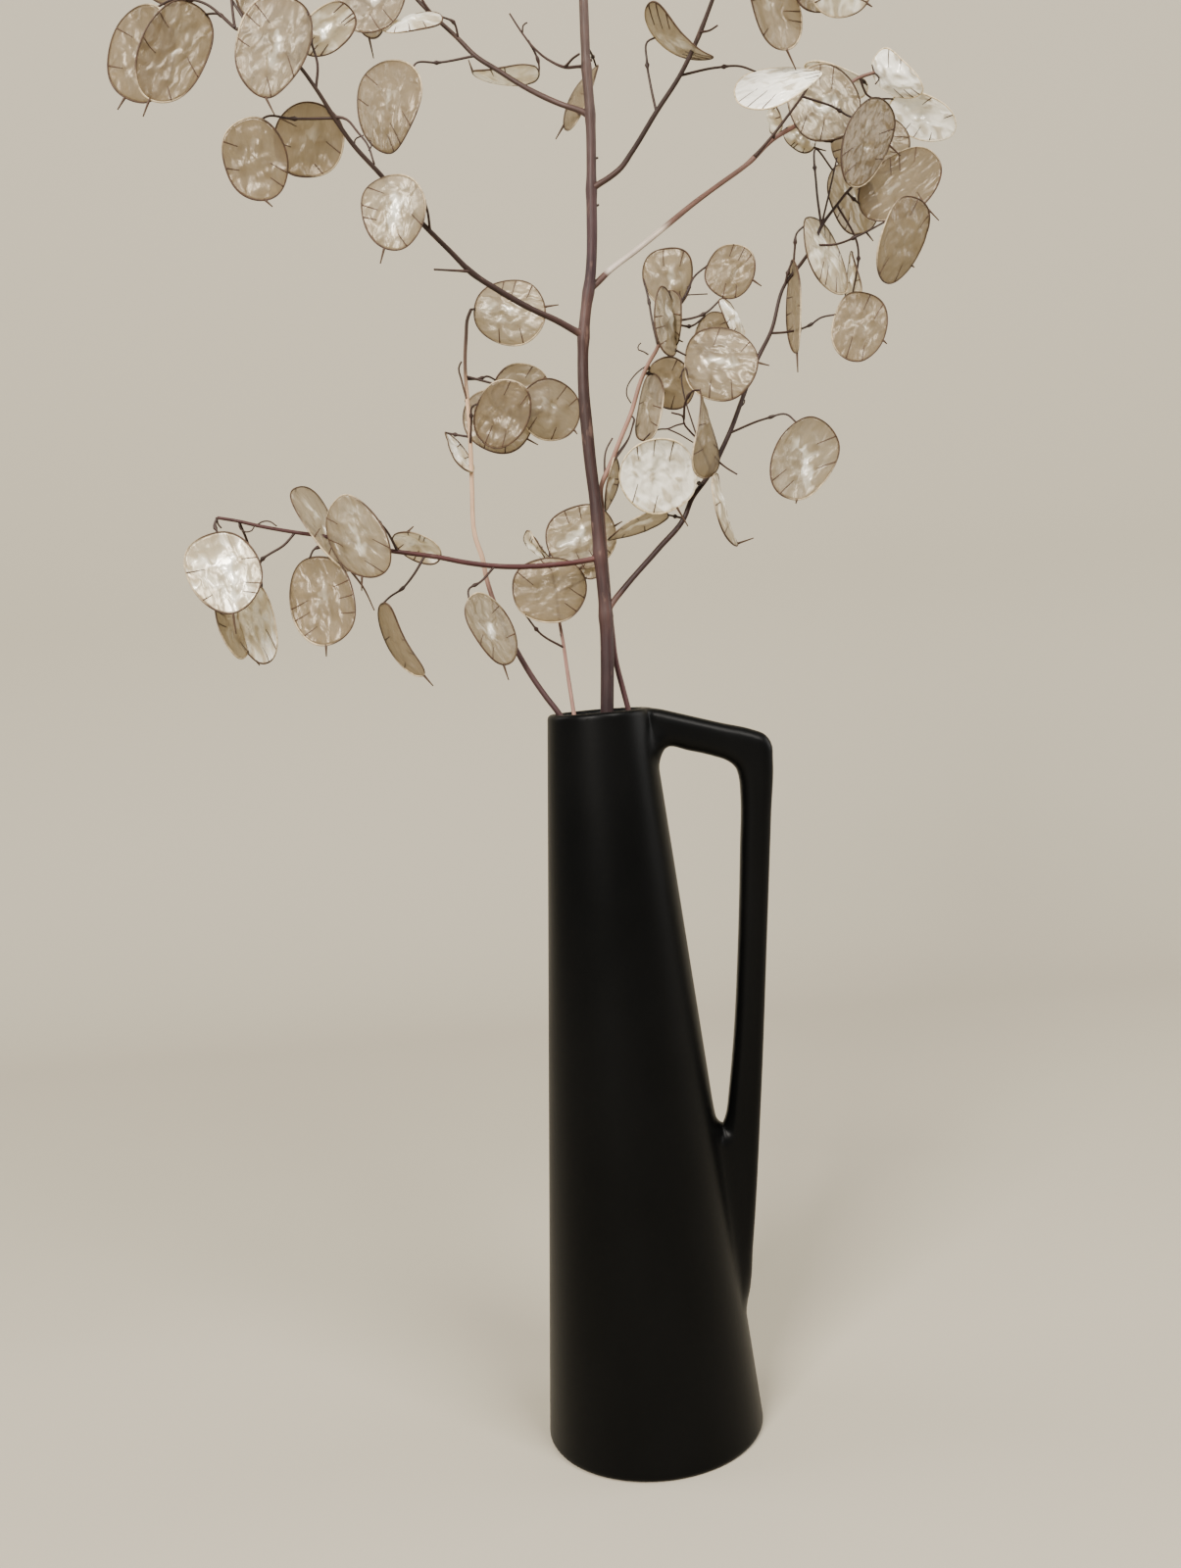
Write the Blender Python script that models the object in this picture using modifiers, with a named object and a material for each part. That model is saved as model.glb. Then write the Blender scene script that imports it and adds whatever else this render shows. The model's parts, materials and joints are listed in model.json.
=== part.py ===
"""Dried honesty in a black jug: the construction, in metres, +Z up, +X to the handle.

The camera that took the photograph was found from the jug's outline. Every stem and pod
is placed by the photograph's pixels and by a depth in millimetres behind the jug's axis.
"""
import random
from collections import namedtuple
from math import acos, copysign, cos, hypot, pi, radians, sin, sqrt

import bmesh
import bpy
from mathutils import Vector

MM = 0.001
WELD = 1e-6

# The camera of the photograph, whose frame is 1205 by 1600 pixels
FOCAL_PIXELS = 1500.0
MIDDLE_PIXEL = (602.5, 800.0)
PITCH = radians(5.137)
ROLL = radians(4.716)
EYE = Vector((-0.0063, -0.669, 0.3672))
LOOK = Vector((0.0, cos(PITCH), -sin(PITCH)))
LOOK_UP = Vector((0.0, sin(PITCH), cos(PITCH)))
UP = Vector((0.0, 0.0, 1.0))

# The jug
JUG_HEIGHT = 0.340
BASE_RADIUS = 0.0508
RIM_RADIUS = 0.0233
FOOT_ROUND = 0.0027
RIM_ROUND = 0.0019
RIM_WALL = 0.0040
BASE_WALL = 0.0050
FLOOR_THICKNESS = 0.0060
FLOOR_ROUND = (0.0030, 0.0040)
ROUND_STEPS = 3
JUG_SIDES = 48
HANDLE_DEPTH = 0.0145
HANDLE_ROUND = 0.0040
ROOT_SINK = 0.0030

# Where the handle's outer and inner edges run, as (x, z) in millimetres
HANDLE_OUTER = [(22.4, 338.6), (36.8, 333.8), (55.2, 327.7), (69.5, 323.4), (74.2, 321.2),
                (77.0, 317.0), (77.2, 311.0), (75.2, 286.7), (72.2, 257.8), (69.1, 233.4),
                (63.7, 177.8), (60.9, 157.0), (55.9, 120.1), (51.4, 82.4), (49.6, 69.5),
                (47.6, 63.4), (44.6, 59.6)]
GAP_EDGE = [(24.9, 318.8), (28.8, 321.3), (39.3, 318.8), (50.3, 315.4), (56.8, 312.6),
            (60.4, 309.2), (61.7, 304.1), (61.8, 297.0), (59.7, 270.7), (55.0, 222.1),
            (50.6, 185.4), (46.3, 158.2), (44.0, 145.2), (42.6, 140.4), (41.0, 139.3),
            (39.9, 141.8)]

# The dried plants
POD_SIDES = 12
STEM_SIDES = {"main_spray": 8, "left_spray": 5, "short_spray": 5, "right_spray": 5}
BRANCH_SIDES = 4
POD_THICKNESS = 0.0007
POD_POWER = 2.15
DISH = (0.0008, 0.0022)
CURL = 0.0016
POD_RATIO = 1.30
LEAST_RATIO = 1.12
PEDICEL_RADIUS = 0.00055
STYLE_RADIUS = 0.0005
SINK = 0.86
SHEET_SLACK = 1.02

PAPER = (0.560, 0.480, 0.360, 1.0)
BLACK = (0.012, 0.012, 0.013, 1.0)

Branch = namedtuple("Branch", "parent route reach thick")
Pod = namedtuple("Pod", "branch head foot wide base pedicel style off taper skew bow",
                 defaults=(None, (), (), 0.0, 0.0, 0.0, 0.0))

PLAIN_POD = Pod("", (0, 0), (0, 0), 2.0)

# Each cut stem: its way inside the jug in millimetres, then the photograph's pixels with
# its depth at the rim and at its top, and its radius at the rim and at its top
Stem = namedtuple("Stem", "inside route near_rim at_top thick")

STEMS = {
    "main_spray": Stem(
        [(-23.5, 3.0, 6.5), (-15.0, 2.0, 120.0), (-7.0, 1.0, 215.0), (0.2, 0.2, 300.0)],
        [(619.2, 727), (619.0, 650), (617.4, 620), (612.5, 570), (608.2, 520), (602.0, 470),
         (599.0, 440), (595.5, 400), (595.5, 341), (598.5, 310), (601.4, 290), (603.4, 188),
         (602.5, 122), (598.0, 61), (595.6, 0), (590.0, -110), (586.0, -230), (592.0, -330)],
        0.0, 14.0, (3.0, 1.1)),
    "left_spray": Stem(
        [(6.0, 17.0, 6.3), (6.0, 15.0, 120.0), (3.5, 12.0, 220.0), (-4.5, 8.0, 288.0),
         (-12.5, 5.0, 322.0)],
        [(572.0, 731), (557.0, 711), (544.0, 692.5), (528.5, 666.5), (504.0, 614.5),
         (496.3, 590), (492.0, 569), (485.4, 550), (481.6, 500), (481.0, 480), (478.6, 430),
         (475.0, 384), (474.5, 372), (475.6, 342), (477.0, 325), (480.5, 316)],
        3.0, 16.0, (1.35, 0.5)),
    "short_spray": Stem(
        [(-4.0, 26.0, 6.3), (-6.0, 18.0, 170.0), (-9.0, 10.0, 290.0)],
        [(585.6, 729), (578.7, 684), (574.3, 654), (570.9, 635), (567.0, 604), (561.0, 574)],
        8.0, 15.0, (1.0, 0.5)),
    "right_spray": Stem(
        [(20.0, 12.0, 6.4), (18.5, 11.0, 150.0), (16.0, 10.0, 270.0)],
        [(641.0, 724), (635.9, 704.5), (628.0, 673), (624.6, 646), (619.0, 585), (614.5, 520),
         (613.5, 496), (622.0, 476), (633.0, 448), (644.0, 421), (654.0, 388), (660.5, 373),
         (671.5, 353), (676.0, 330)],
        9.0, 10.0, (1.2, 0.5)),
}

BRANCHES = {
    "left_arm": Branch("main_spray", [
        (608, 569), (594, 572.5), (567, 576), (505, 577.5), (470, 573), (450, 569), (422, 565),
        (398, 562), (335, 548), (300, 543), (261, 536), (244, 532), (221.6, 528.3)],
        -45, (1.2, 0.55)),
    "high_left": Branch("main_spray", [
        (594, 342), (586, 337), (570, 328), (542, 315), (510, 297), (480, 277), (460, 257),
        (432, 229), (389, 179), (359, 146), (341, 120), (322, 90), (304, 66), (282, 46),
        (258, 36), (240, 29)],
        -72, (1.35, 0.5)),
    "high_left_bare": Branch("high_left", [(480, 277), (462, 276), (443, 275)], -32, (0.6, 0.4)),
    "high_left_loop": Branch("high_left", [
        (341, 119), (352, 121), (365, 135), (374, 146), (382, 168)], -50, (0.55, 0.4)),
    "top_left": Branch("main_spray", [
        (600, 118), (592, 113), (574, 107), (547, 95), (527, 84), (510, 73), (485, 57),
        (468, 40), (441, 15), (426, 0), (398, -38), (366, -92), (345, -140)],
        62, (1.2, 0.5)),
    "top_fork": Branch("top_left", [(441, 15), (431, 0), (424, -30), (408, -52)], 24, (0.6, 0.4)),
    "bare_twig": Branch("main_spray", [
        (599, 68), (590, 68), (579, 69), (561, 62), (543, 47), (533, 34), (520, 14)],
        30, (0.65, 0.4)),
    "bare_spur": Branch("bare_twig", [(577, 68), (584, 60), (591, 55)], 2, (0.5, 0.5)),
    "high_right": Branch("main_spray", [
        (604, 193), (611, 188), (622, 181), (633, 172), (645, 155), (670, 114), (695, 75),
        (712, 39), (727, 0), (744, -46), (768, -104), (796, -160)],
        -48, (1.2, 0.5)),
    "high_right_spur": Branch("high_right", [(715, 33), (724, 31), (732, 26)], -30, (0.45, 0.4)),
    "pale_right": Branch("main_spray", [
        (602, 296), (609, 289), (620, 278), (650, 255), (683, 228), (710, 206), (733, 189),
        (763, 167), (789, 142), (814, 127), (850, 100), (877, 79), (892, 74)],
        72, (1.3, 0.5)),
    "pale_right_fork": Branch("pale_right", [(789, 142), (805, 118), (819, 99), (828, 83)],
                              34, (0.6, 0.4)),
    "low_right": Branch("main_spray", [
        (616, 628), (624, 617), (638, 599), (672, 560), (698, 529), (706, 509), (721, 488),
        (733, 466), (746, 438), (757, 408), (773, 366), (786, 340), (801, 290), (818, 268),
        (830, 250), (838, 231), (854, 209), (866, 194), (871, 189)],
        40, (1.3, 0.5)),
    "low_right_fork": Branch("low_right", [(838, 231), (846, 197), (854, 161)], 46, (0.5, 0.4)),
    "low_right_twig": Branch("low_right", [
        (726, 479), (718, 462), (713, 450), (704, 440), (698, 432), (697.5, 426), (685, 421)],
        2, (0.55, 0.4)),
    "low_right_thorn": Branch("low_right", [(732, 470), (742, 478), (752, 484)], 8, (0.45, 0.4)),
    "right_twig": Branch("right_spray", [
        (622, 476), (631, 462), (642, 446), (647, 428)], 17, (0.45, 0.4)),
    "right_spur": Branch("right_spray", [(617, 488), (619, 458), (625, 447)], 12, (0.45, 0.4)),
    "left_spur": Branch("left_spray", [(477, 410), (471, 388), (468.4, 374), (471, 369)],
                        8, (0.45, 0.4)),
}

# Pods: head and foot are the ends of the long axis, wide is the width that shows, base is
# where the pedicel joins, off is the depth in millimetres from the branch. Taper narrows a
# pod towards its foot, skew does so on one side only, bow moves its middle sideways
PODS = {
    "high_a": Pod("high_left", (151, 5), (138, 104), 66, (159, 11),
                  [(240, 29), (205, 2), (175, 0)], [(129, 98), (120, 112)], off=14),
    "high_b": Pod("high_left", (195, 2), (160, 104), 70, (208, 13),
                  [(240, 29), (221, 14)], [(154, 101), (146, 119)], off=2, taper=0.07,
                  skew=-0.07),
    "high_c": Pod("high_left", (288, -4), (269, 99), 73, (309, 9),
                  [(323, 90), (324, 66), (317, 40)], [(271, 97), (280, 117)], off=-14,
                  taper=0.175, skew=-0.125),
    "high_d": Pod("high_left", (358, 8), (310, 52), 44, (322, 20),
                  [(304, 66), (308, 40)], off=10),
    "high_e": Pod("top_fork", (392, -38), (363, 30), 70, (404, -30),
                  [(408, -52)], [(351, 23), (338, 37)]),
    "high_f": Pod("top_left", (451, 17), (389, 28), 16, (450, 16),
                  [(470, 38), (463, 23)], off=-6, bow=-2.5),
    "high_g": Pod("top_left", (400, 61), (392, 155), 62, (417, 68),
                  [(484, 58), (447, 64), (424, 65)], off=-8, taper=0.29, skew=-0.07),
    "high_h": Pod("bare_twig", (550, 75), (482, 74), 19, (549, 75),
                  [(539, 41), (545, 52), (550, 67)], [(485, 73), (478, 61)], off=6, bow=-4),
    "high_i": Pod("main_spray", (609, 66), (577, 132), 15, (606, 68),
                  [(598, 45), (604, 56)], [(574, 130), (567, 142)], off=9, taper=-0.2),
    "high_j": Pod("high_right", (661, 4), (726, 60), 24, (665, 30),
                  [(669, 114), (664, 88), (660, 62), (661, 42)], off=-16, bow=11),
    "high_k": Pod("high_right", (838, 75), (750, 98), 35, (767, 73),
                  [(695, 78), (731, 69), (757, 68)], off=-2, taper=-0.35),
    "high_t1": Pod("high_left", (180, -75), (172, 5), 68, (184, -73),
                   [(240, 29), (222, -50)], off=24),
    "high_t2": Pod("high_left", (276, -62), (262, 21), 58, (280, -60),
                   [(258, 36), (225, -40)], off=12),
    "high_tr1": Pod("high_right", (862, -62), (854, 18), 66, (856, -60),
                    [(768, -104), (812, -92)], [(880, -2), (890, 7)], off=14),
    "high_tr2": Pod("high_right", (836, -64), (833, 13), 48, (832, -62),
                    [(768, -104), (800, -90)], off=25),
    "left_e": Pod("high_left", (404, 179), (398, 255), 64, (416, 184),
                  [(441, 234), (435, 211), (424, 190)], [(392, 252), (388, 269)], off=-20,
                  taper=0.15, skew=0.05),
    "left_f": Pod("high_left", (248, 121), (273, 203), 64, (266, 122),
                  [(341, 121), (296, 121), (272, 119)], [(270, 202), (278, 211)], off=-6),
    "left_g": Pod("high_left", (318, 105), (312, 181), 71, (332, 111),
                  [(341, 120)], off=8),
    "far_l": Pod("pale_right", (824, 70), (858, 141), 72, (872, 112),
                 [(821, 134), (848, 144), (868, 124)], off=-9),
    "far_l2": Pod("pale_right", (885, 94), (822, 66), 25, (881, 88),
                  [(877, 79)], off=8),
    "far_m1": Pod("pale_right", (895.5, 53.5), (939.5, 95.5), 35, (897, 72),
                  [(892, 74)], off=-6, bow=5.5),
    "far_m2": Pod("pale_right", (907.5, 106), (974, 132.5), 45, (907, 99),
                  [(877, 79), (885, 97)], [(965, 134), (971, 138)], off=6),
    "far_n": Pod("pale_right", (899, 101), (870, 191), 46, (888, 104),
                 [(821, 100), (848, 108), (874, 119)], [(907, 149), (919, 159)], off=-22),
    "far_o": Pod("low_right", (880, 217), (955, 160), 60, (878, 208),
                 [(864, 196), (872, 204)], [(945, 211), (958, 225)], off=8),
    "far_p": Pod("low_right", (935, 201), (905, 288), 44, (903, 225),
                 [(831, 251), (854, 249), (875, 241)], [(931, 268), (933, 273)], off=-6),
    "far_q": Pod("low_right_fork", (857, 168), (882, 238), 46, (849, 172),
                 [(838, 231), (833, 190), (833, 152)], [(884, 236), (891, 246)], off=18),
    "far_q2": Pod("pale_right", (848, 144), (928, 149), 64, (884, 118),
                  [(850, 100), (866, 104)], off=14),
    "far_s": Pod("pale_right", (802, 131), (830, 151), 24, (804, 131),
                 [(789, 142)], [(828, 149), (843, 154)], off=12),
    "far_edge": Pod("pale_right", (792, 136), (787, 102), 12, (792, 135),
                    [(789, 142)], off=-6),
    "low_a": Pod("low_right", (809, 266), (811, 361), 14, (809, 268),
                 [(801, 292), (806, 272)], [(812, 360), (814, 380)], off=-6),
    "low_b": Pod("low_right", (823, 222), (861, 299), 31, (820, 234),
                 [(809, 279), (811, 253), (813, 238)], off=8, taper=0.175, skew=-0.175),
    "low_c": Pod("low_right", (869, 257), (870, 308), 13, (870, 300),
                 [(854, 209), (875, 250)], off=15, taper=-0.3),
    "low_d": Pod("low_right", (880, 298), (874, 369), 55, (849, 321),
                 [(786, 340), (802, 339), (826, 332), (838, 324)], [(900, 345), (905, 351)],
                 off=7, taper=0.1, skew=-0.1),
    "low_e": Pod("low_right", (835, 428), (806, 510), 62, (811, 429),
                 [(744, 442), (782, 427), (803, 423)], [(814, 507), (812, 514)], off=-9,
                 taper=0.125, skew=-0.125),
    "low_f": Pod("low_right_twig", (715, 397), (722, 487), 19, (715, 398),
                 [(698, 428), (700, 409), (707, 399)], off=-8, taper=-0.75),
    "low_g": Pod("low_right", (729, 483), (750, 557), 8, (729, 484),
                 [(726, 480)], [(749, 550), (769, 549)], off=-5, taper=-0.2, bow=4),
    "low_h": Pod("low_right", (655, 452), (690, 523), 76, (710, 492),
                 [(718, 493)], [(692, 521), (702, 537)], off=-16),
    "low_i": Pod("low_right", (682, 524), (621, 550), 14, (680, 525),
                 [(698, 529)], off=5),
    "mid_1": Pod("right_spray", (675, 254), (689, 314), 50, (658, 285),
                 [(671, 353), (665, 325), (662, 307)], off=6,
                 taper=0.175, skew=-0.125),
    "mid_2": Pod("right_spray", (757, 251), (733, 302), 48, (722, 270),
                 [(674, 343), (693, 312), (702, 296), (708, 283)],
                 [(766, 285), (777, 292)], off=8),
    "mid_3": Pod("right_spray", (675, 293), (685, 364), 21, (676, 294),
                 [(671, 353), (672, 320)], [(692, 346), (697, 349)], off=-7, taper=-0.3),
    "mid_3b": Pod("right_spray", (683, 296), (690, 352), 17, (684, 298),
                  [(674, 343), (679, 318)], off=2),
    "mid_4": Pod("right_spray", (698.5, 365.5), (772, 378), 74, (699, 363),
                 [(671.5, 353), (686, 356)], [(772, 371), (785, 373)], off=-6),
    "mid_5": Pod("right_spray", (739, 320), (716, 362), 34, (722, 329),
                 [(676, 331), (694, 332), (704, 333)], off=9),
    "mid_6": Pod("right_spray", (736, 305), (756, 345), 14, (737, 308),
                 [(702, 333), (722, 318)], off=3),
    "mid_7": Pod("right_spray", (672, 367), (697, 415), 46, (664, 378),
                 [(660.5, 373)], off=14),
    "mid_8": Pod("right_spray", (668, 382), (657, 450), 25, (667, 384),
                 [(657, 382), (662, 381)], off=2),
    "mid_9": Pod("right_spray", (629, 467), (619, 521), 10, (628, 469),
                 [(624, 470)], off=3),
    "stem_1": Pod("short_spray", (558, 556), (628, 540), 64, (560, 562),
                  [(561, 574)], [(625, 538), (635, 532)], off=4),
    "stem_2": Pod("short_spray", (612, 560), (598, 590), 24, (600, 588),
                  [(567, 604), (584, 598)], off=10),
    "stem_3": Pod("short_spray", (523, 603), (598, 601), 66, (536, 627),
                  [(574, 661), (552, 647)], [(590, 581), (597, 576)], off=-6),
    "stem_4": Pod("short_spray", (556, 573), (536, 543), 8, (556, 572),
                  [(561, 574)], off=3),
    "stem_4b": Pod("short_spray", (561, 573), (541, 548), 7, (560, 572),
                   [(561, 574)], off=7),
    "arm_1": Pod("left_arm", (217, 545), (241, 625), 74, (222, 545),
                 [(221.6, 528), (219, 536)], [(237, 624), (241, 647)], off=-5, taper=0.12,
                 skew=0.12),
    "arm_2": Pod("left_arm", (238, 590), (275, 676), 46, (266, 600),
                 [(301, 545), (290, 556), (274, 566), (268, 570)], [(260, 669), (265, 679)],
                 off=7, taper=0.2, skew=-0.1),
    "arm_2b": Pod("left_arm", (228, 590), (248, 672), 30, (236, 590),
                  [(244, 532), (254, 562)], off=17),
    "arm_3": Pod("left_arm", (322, 568), (335, 658), 66, (316, 569),
                 [(345, 549), (334, 556), (320, 561)], [(333, 657), (333, 670)], off=-5),
    "arm_4": Pod("left_arm", (346, 507), (383, 588), 55, (367, 514),
                 [(406, 561), (394, 541), (380, 526)], [(369, 587), (369, 603)], off=-20,
                 taper=-0.025, skew=0.125),
    "arm_5": Pod("left_arm", (302, 497), (356, 582), 26, (303, 499),
                 [(327, 546), (307, 526), (300, 512)], [(356, 581), (371, 600), (382, 623)],
                 off=9),
    "arm_6": Pod("left_arm", (450, 568), (401, 549), 26, (448, 568),
                 [(452, 569)], [(417, 545), (422, 537)], off=8, taper=-0.2,
                 skew=-0.2),
    "arm_7": Pod("left_arm", (391, 615), (432, 689), 21, (392, 617),
                 [(433, 571), (421, 588), (410, 601), (398, 609)], [(432, 688), (442, 700)],
                 off=-6, bow=9),
    "arm_8": Pod("left_arm", (483, 607), (521, 677), 39, (479, 610),
                 [(505, 577), (490, 594), (478, 602)], [(515, 678), (519, 694)], off=-7),
    "side_1": Pod("left_spray", (484.5, 317), (556.5, 320), 66, (485, 316),
                  [(480.5, 316)], [(556, 314), (570, 311)], off=2),
    "side_2": Pod("left_spray", (503, 398), (561, 400), 55, (504, 388),
                  [(475, 387), (491, 386), (497, 384)], off=12),
    "side_3": Pod("left_spray", (526, 389), (499, 455), 54, (487, 411),
                  [(479, 455), (481, 430), (482, 415)], off=-7),
    "side_4": Pod("left_spray", (537, 397), (584, 439), 60, (537, 402),
                  [(475, 384), (505, 392)], [(582, 436), (589, 443)], off=5),
    "side_5": Pod("left_spray", (477, 411), (538, 447), 63, (475, 413),
                  [(476, 400)], [(537, 447), (549, 454)], off=9),
    "side_6": Pod("left_spray", (455, 441), (483, 481), 12, (456, 443),
                  [(478, 446), (462, 443)], off=2, bow=1.5),
}

# The crown that the photograph's top edge cuts off follows a seeded rule: branches round
# the main stem's last stretch, each with an elbow and two pods on its outer half
CROWN_SEED = 41
CROWN_STRETCH = 0.22
CROWN_BRANCHES = 6
CROWN_LENGTHS = (0.078, 0.030)
CROWN_RADII = (0.0008, 0.0006, 0.0005)
CROWN_ELBOW_OUT = 0.45
CROWN_ELBOW_UP = 0.30
CROWN_TIP_UP = 0.85
CROWN_POD_SHARES = (0.35, 1.0)
CROWN_FIRST_TURN = 0.6
CROWN_TURN = radians(137.5)
CROWN_LEADER_WAY = Vector((0.4, -0.3, 0.0))
CUT_OFF_BRANCHES = ("top_left", "high_right")
CUT_OFF_PODS = 3
CUT_OFF_SPLAY = 1.5
CROWN_POD_LENGTH = (0.036, 0.043)
CROWN_POD_RATIO = (1.22, 1.45)
CROWN_POD_SWING = 0.55
ARCH_OUT = 0.011
ARCH_UP = 0.005
KNEE_OUT = 0.004
KNEE_DOWN = 0.001
CROWN_STYLE = (0.009, 0.002)


def seen(pixel, depth):
    """The point at a depth, in millimetres behind the jug's axis, that a pixel shows."""
    across = pixel[0] - MIDDLE_PIXEL[0]
    down = pixel[1] - MIDDLE_PIXEL[1]
    level_across = cos(ROLL) * across - sin(ROLL) * down
    level_down = sin(ROLL) * across + cos(ROLL) * down
    ray = LOOK + Vector((level_across / FOCAL_PIXELS, 0.0, 0.0)) - LOOK_UP * level_down / FOCAL_PIXELS
    return EYE + ray * ((depth * MM - EYE.y) / ray.y)


def picture_step(step):
    """The way in space, flat to the picture, of a step in pixels."""
    level_across = cos(ROLL) * step[0] - sin(ROLL) * step[1]
    level_down = sin(ROLL) * step[0] + cos(ROLL) * step[1]
    return Vector((level_across, 0.0, 0.0)) - LOOK_UP * level_down


def pixel_gap(first, second):
    return hypot(second[0] - first[0], second[1] - first[1])


def lengths_along(route):
    """The share of the whole route's length that lies before each of its pixels."""
    runs = [0.0]
    for first, second in zip(route, route[1:]):
        runs.append(runs[-1] + pixel_gap(first, second))
    return [run / runs[-1] for run in runs]


def nearest_on(route, depths, pixel):
    """The pixel and the depth of a route where it passes nearest to a pixel."""
    best = None
    for first, second, near, far in zip(route, route[1:], depths, depths[1:]):
        run = (second[0] - first[0], second[1] - first[1])
        share = ((pixel[0] - first[0]) * run[0] + (pixel[1] - first[1]) * run[1])
        share = min(1.0, max(0.0, share / (run[0] ** 2 + run[1] ** 2)))
        spot = (first[0] + run[0] * share, first[1] + run[1] * share)
        found = (pixel_gap(spot, pixel), spot, near + (far - near) * share)
        if best is None or found[0] < best[0]:
            best = found
    return best[1:]


def settle_routes():
    """Gives every stem and branch its route in pixels and the depth of each pixel."""
    routes = {}
    for name, stem in STEMS.items():
        shares = lengths_along(stem.route)
        depths = [stem.near_rim + (stem.at_top - stem.near_rim) * share for share in shares]
        routes[name] = (stem.route, depths, stem.thick, name)
    for name, branch in BRANCHES.items():
        parent_route, parent_depths, _, spray = routes[branch.parent]
        fork, start = nearest_on(parent_route, parent_depths, branch.route[0])
        route = [fork, *branch.route[1:]]
        depths = [start + (branch.reach - start) * share for share in lengths_along(route)]
        routes[name] = (route, depths, branch.thick, spray)
    return routes


PodFrame = namedtuple("PodFrame", "centre along across normal dish curl")


def bend(rng):
    """How far a pod's middle stands out of its plane, and how far its corners curl."""
    return rng.uniform(*DISH) * rng.choice((-1, 1)), rng.uniform(-CURL, CURL)


def frame_pod(pod, depth, rng):
    """A pod's centre and half axes, turned and leaned until it shows as in the photograph."""
    centre = seen(((pod.head[0] + pod.foot[0]) / 2, (pod.head[1] + pod.foot[1]) / 2), depth)
    scale = (centre - EYE).dot(LOOK) / FOCAL_PIXELS
    shown_length = pixel_gap(pod.head, pod.foot) * scale
    shown_width = pod.wide * scale
    length = max(shown_length * SHEET_SLACK, shown_width * LEAST_RATIO)
    lean = sqrt(length ** 2 - shown_length ** 2) / MM * rng.choice((-1, 1))
    head = seen(pod.head, depth - lean / 2)
    foot = seen(pod.foot, depth + lean / 2)
    along = foot - head
    width = max(shown_width, along.length / POD_RATIO)
    turn = acos(min(1.0, shown_width / width)) * rng.choice((-1, 1))
    level = picture_step((pod.head[1] - pod.foot[1], pod.foot[0] - pod.head[0])).normalized()
    across = level * cos(turn) + (centre - EYE).normalized() * sin(turn)
    normal = along.cross(across).normalized()
    return PodFrame((head + foot) / 2, along / 2, across * width / 2, normal, *bend(rng))


def on_outline(pod, frame, pixel, share=1.0):
    """The point of a pod's outline that lies towards a pixel."""
    middle = ((pod.head[0] + pod.foot[0]) / 2, (pod.head[1] + pod.foot[1]) / 2)
    half = pixel_gap(pod.head, pod.foot) / 2
    ahead = ((pod.foot[0] - pod.head[0]) / (2 * half), (pod.foot[1] - pod.head[1]) / (2 * half))
    off = (pixel[0] - middle[0], pixel[1] - middle[1])
    along = (off[0] * ahead[0] + off[1] * ahead[1]) / half
    across = (off[1] * ahead[0] - off[0] * ahead[1]) / (pod.wide / 2)
    size = hypot(along, across)
    return pod_point(pod, frame, along / size * share, across / size * share)


def fuller(share):
    """Pushes a round outline out towards a slightly squarer one."""
    return abs(share) ** (2.0 / POD_POWER) * (1 if share >= 0 else -1)


def pod_point(pod, frame, x, y):
    """A point of a pod's curved sheet, from a point of the unit disc."""
    rise = frame.dish * (1.0 - x * x - y * y) + frame.curl * x * y
    along = fuller(x)
    across = fuller(y) * (1.0 - (pod.taper + pod.skew * copysign(1.0, y)) * along)
    across += pod.bow / (pod.wide / 2) * (1.0 - along ** 2)
    return frame.centre + frame.along * along + frame.across * across + frame.normal * rise


def new_object(name, mesh_or_curve, collection):
    made = bpy.data.objects.new(name, mesh_or_curve)
    collection.objects.link(made)
    return made


def make_material(name, colour, roughness):
    material = bpy.data.materials.new(name)
    material.use_nodes = True
    shader = material.node_tree.nodes["Principled BSDF"]
    shader.inputs["Base Color"].default_value = colour
    shader.inputs["Roughness"].default_value = roughness
    shader.inputs["Metallic"].default_value = 0.0
    return material


def close_and_face_out(mesh):
    work = bmesh.new()
    work.from_mesh(mesh)
    bmesh.ops.remove_doubles(work, verts=work.verts, dist=WELD)
    bmesh.ops.recalc_face_normals(work, faces=work.faces)
    work.to_mesh(mesh)
    work.free()


def solid_from_curve(curve_object, collection):
    """Makes a curve a closed mesh, with its caps welded."""
    bpy.context.view_layer.update()
    graph = bpy.context.evaluated_depsgraph_get()
    mesh = bpy.data.meshes.new_from_object(curve_object.evaluated_get(graph))
    close_and_face_out(mesh)
    solid = new_object(curve_object.name + "_solid", mesh, collection)
    solid.matrix_world = curve_object.matrix_world
    curve = curve_object.data
    bpy.data.objects.remove(curve_object)
    bpy.data.curves.remove(curve)
    return solid


def section(sides):
    """A round section for tubes, as a closed curve of radius 1."""
    name = "section_%d" % sides
    if name in bpy.data.objects:
        return bpy.data.objects[name]
    curve = bpy.data.curves.new(name, "CURVE")
    curve.dimensions = "2D"
    spline = curve.splines.new("POLY")
    spline.points.add(sides - 1)
    for index, spot in enumerate(spline.points):
        angle = 2 * pi * index / sides
        spot.co = (cos(angle), sin(angle), 0.0, 1.0)
    spline.use_cyclic_u = True
    return new_object(name, curve, bpy.context.scene.collection)


def tube(name, points, radii, collection, sides=3):
    """A tapering tube through points."""
    curve = bpy.data.curves.new(name, "CURVE")
    curve.dimensions = "3D"
    curve.fill_mode = "FULL"
    curve.bevel_mode = "OBJECT"
    curve.bevel_object = section(sides)
    curve.use_fill_caps = True
    spline = curve.splines.new("POLY")
    spline.points.add(len(points) - 1)
    for spot, point, radius in zip(spline.points, points, radii):
        spot.co = (*point, 1.0)
        spot.radius = radius
    return solid_from_curve(new_object(name, curve, collection), collection)


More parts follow.
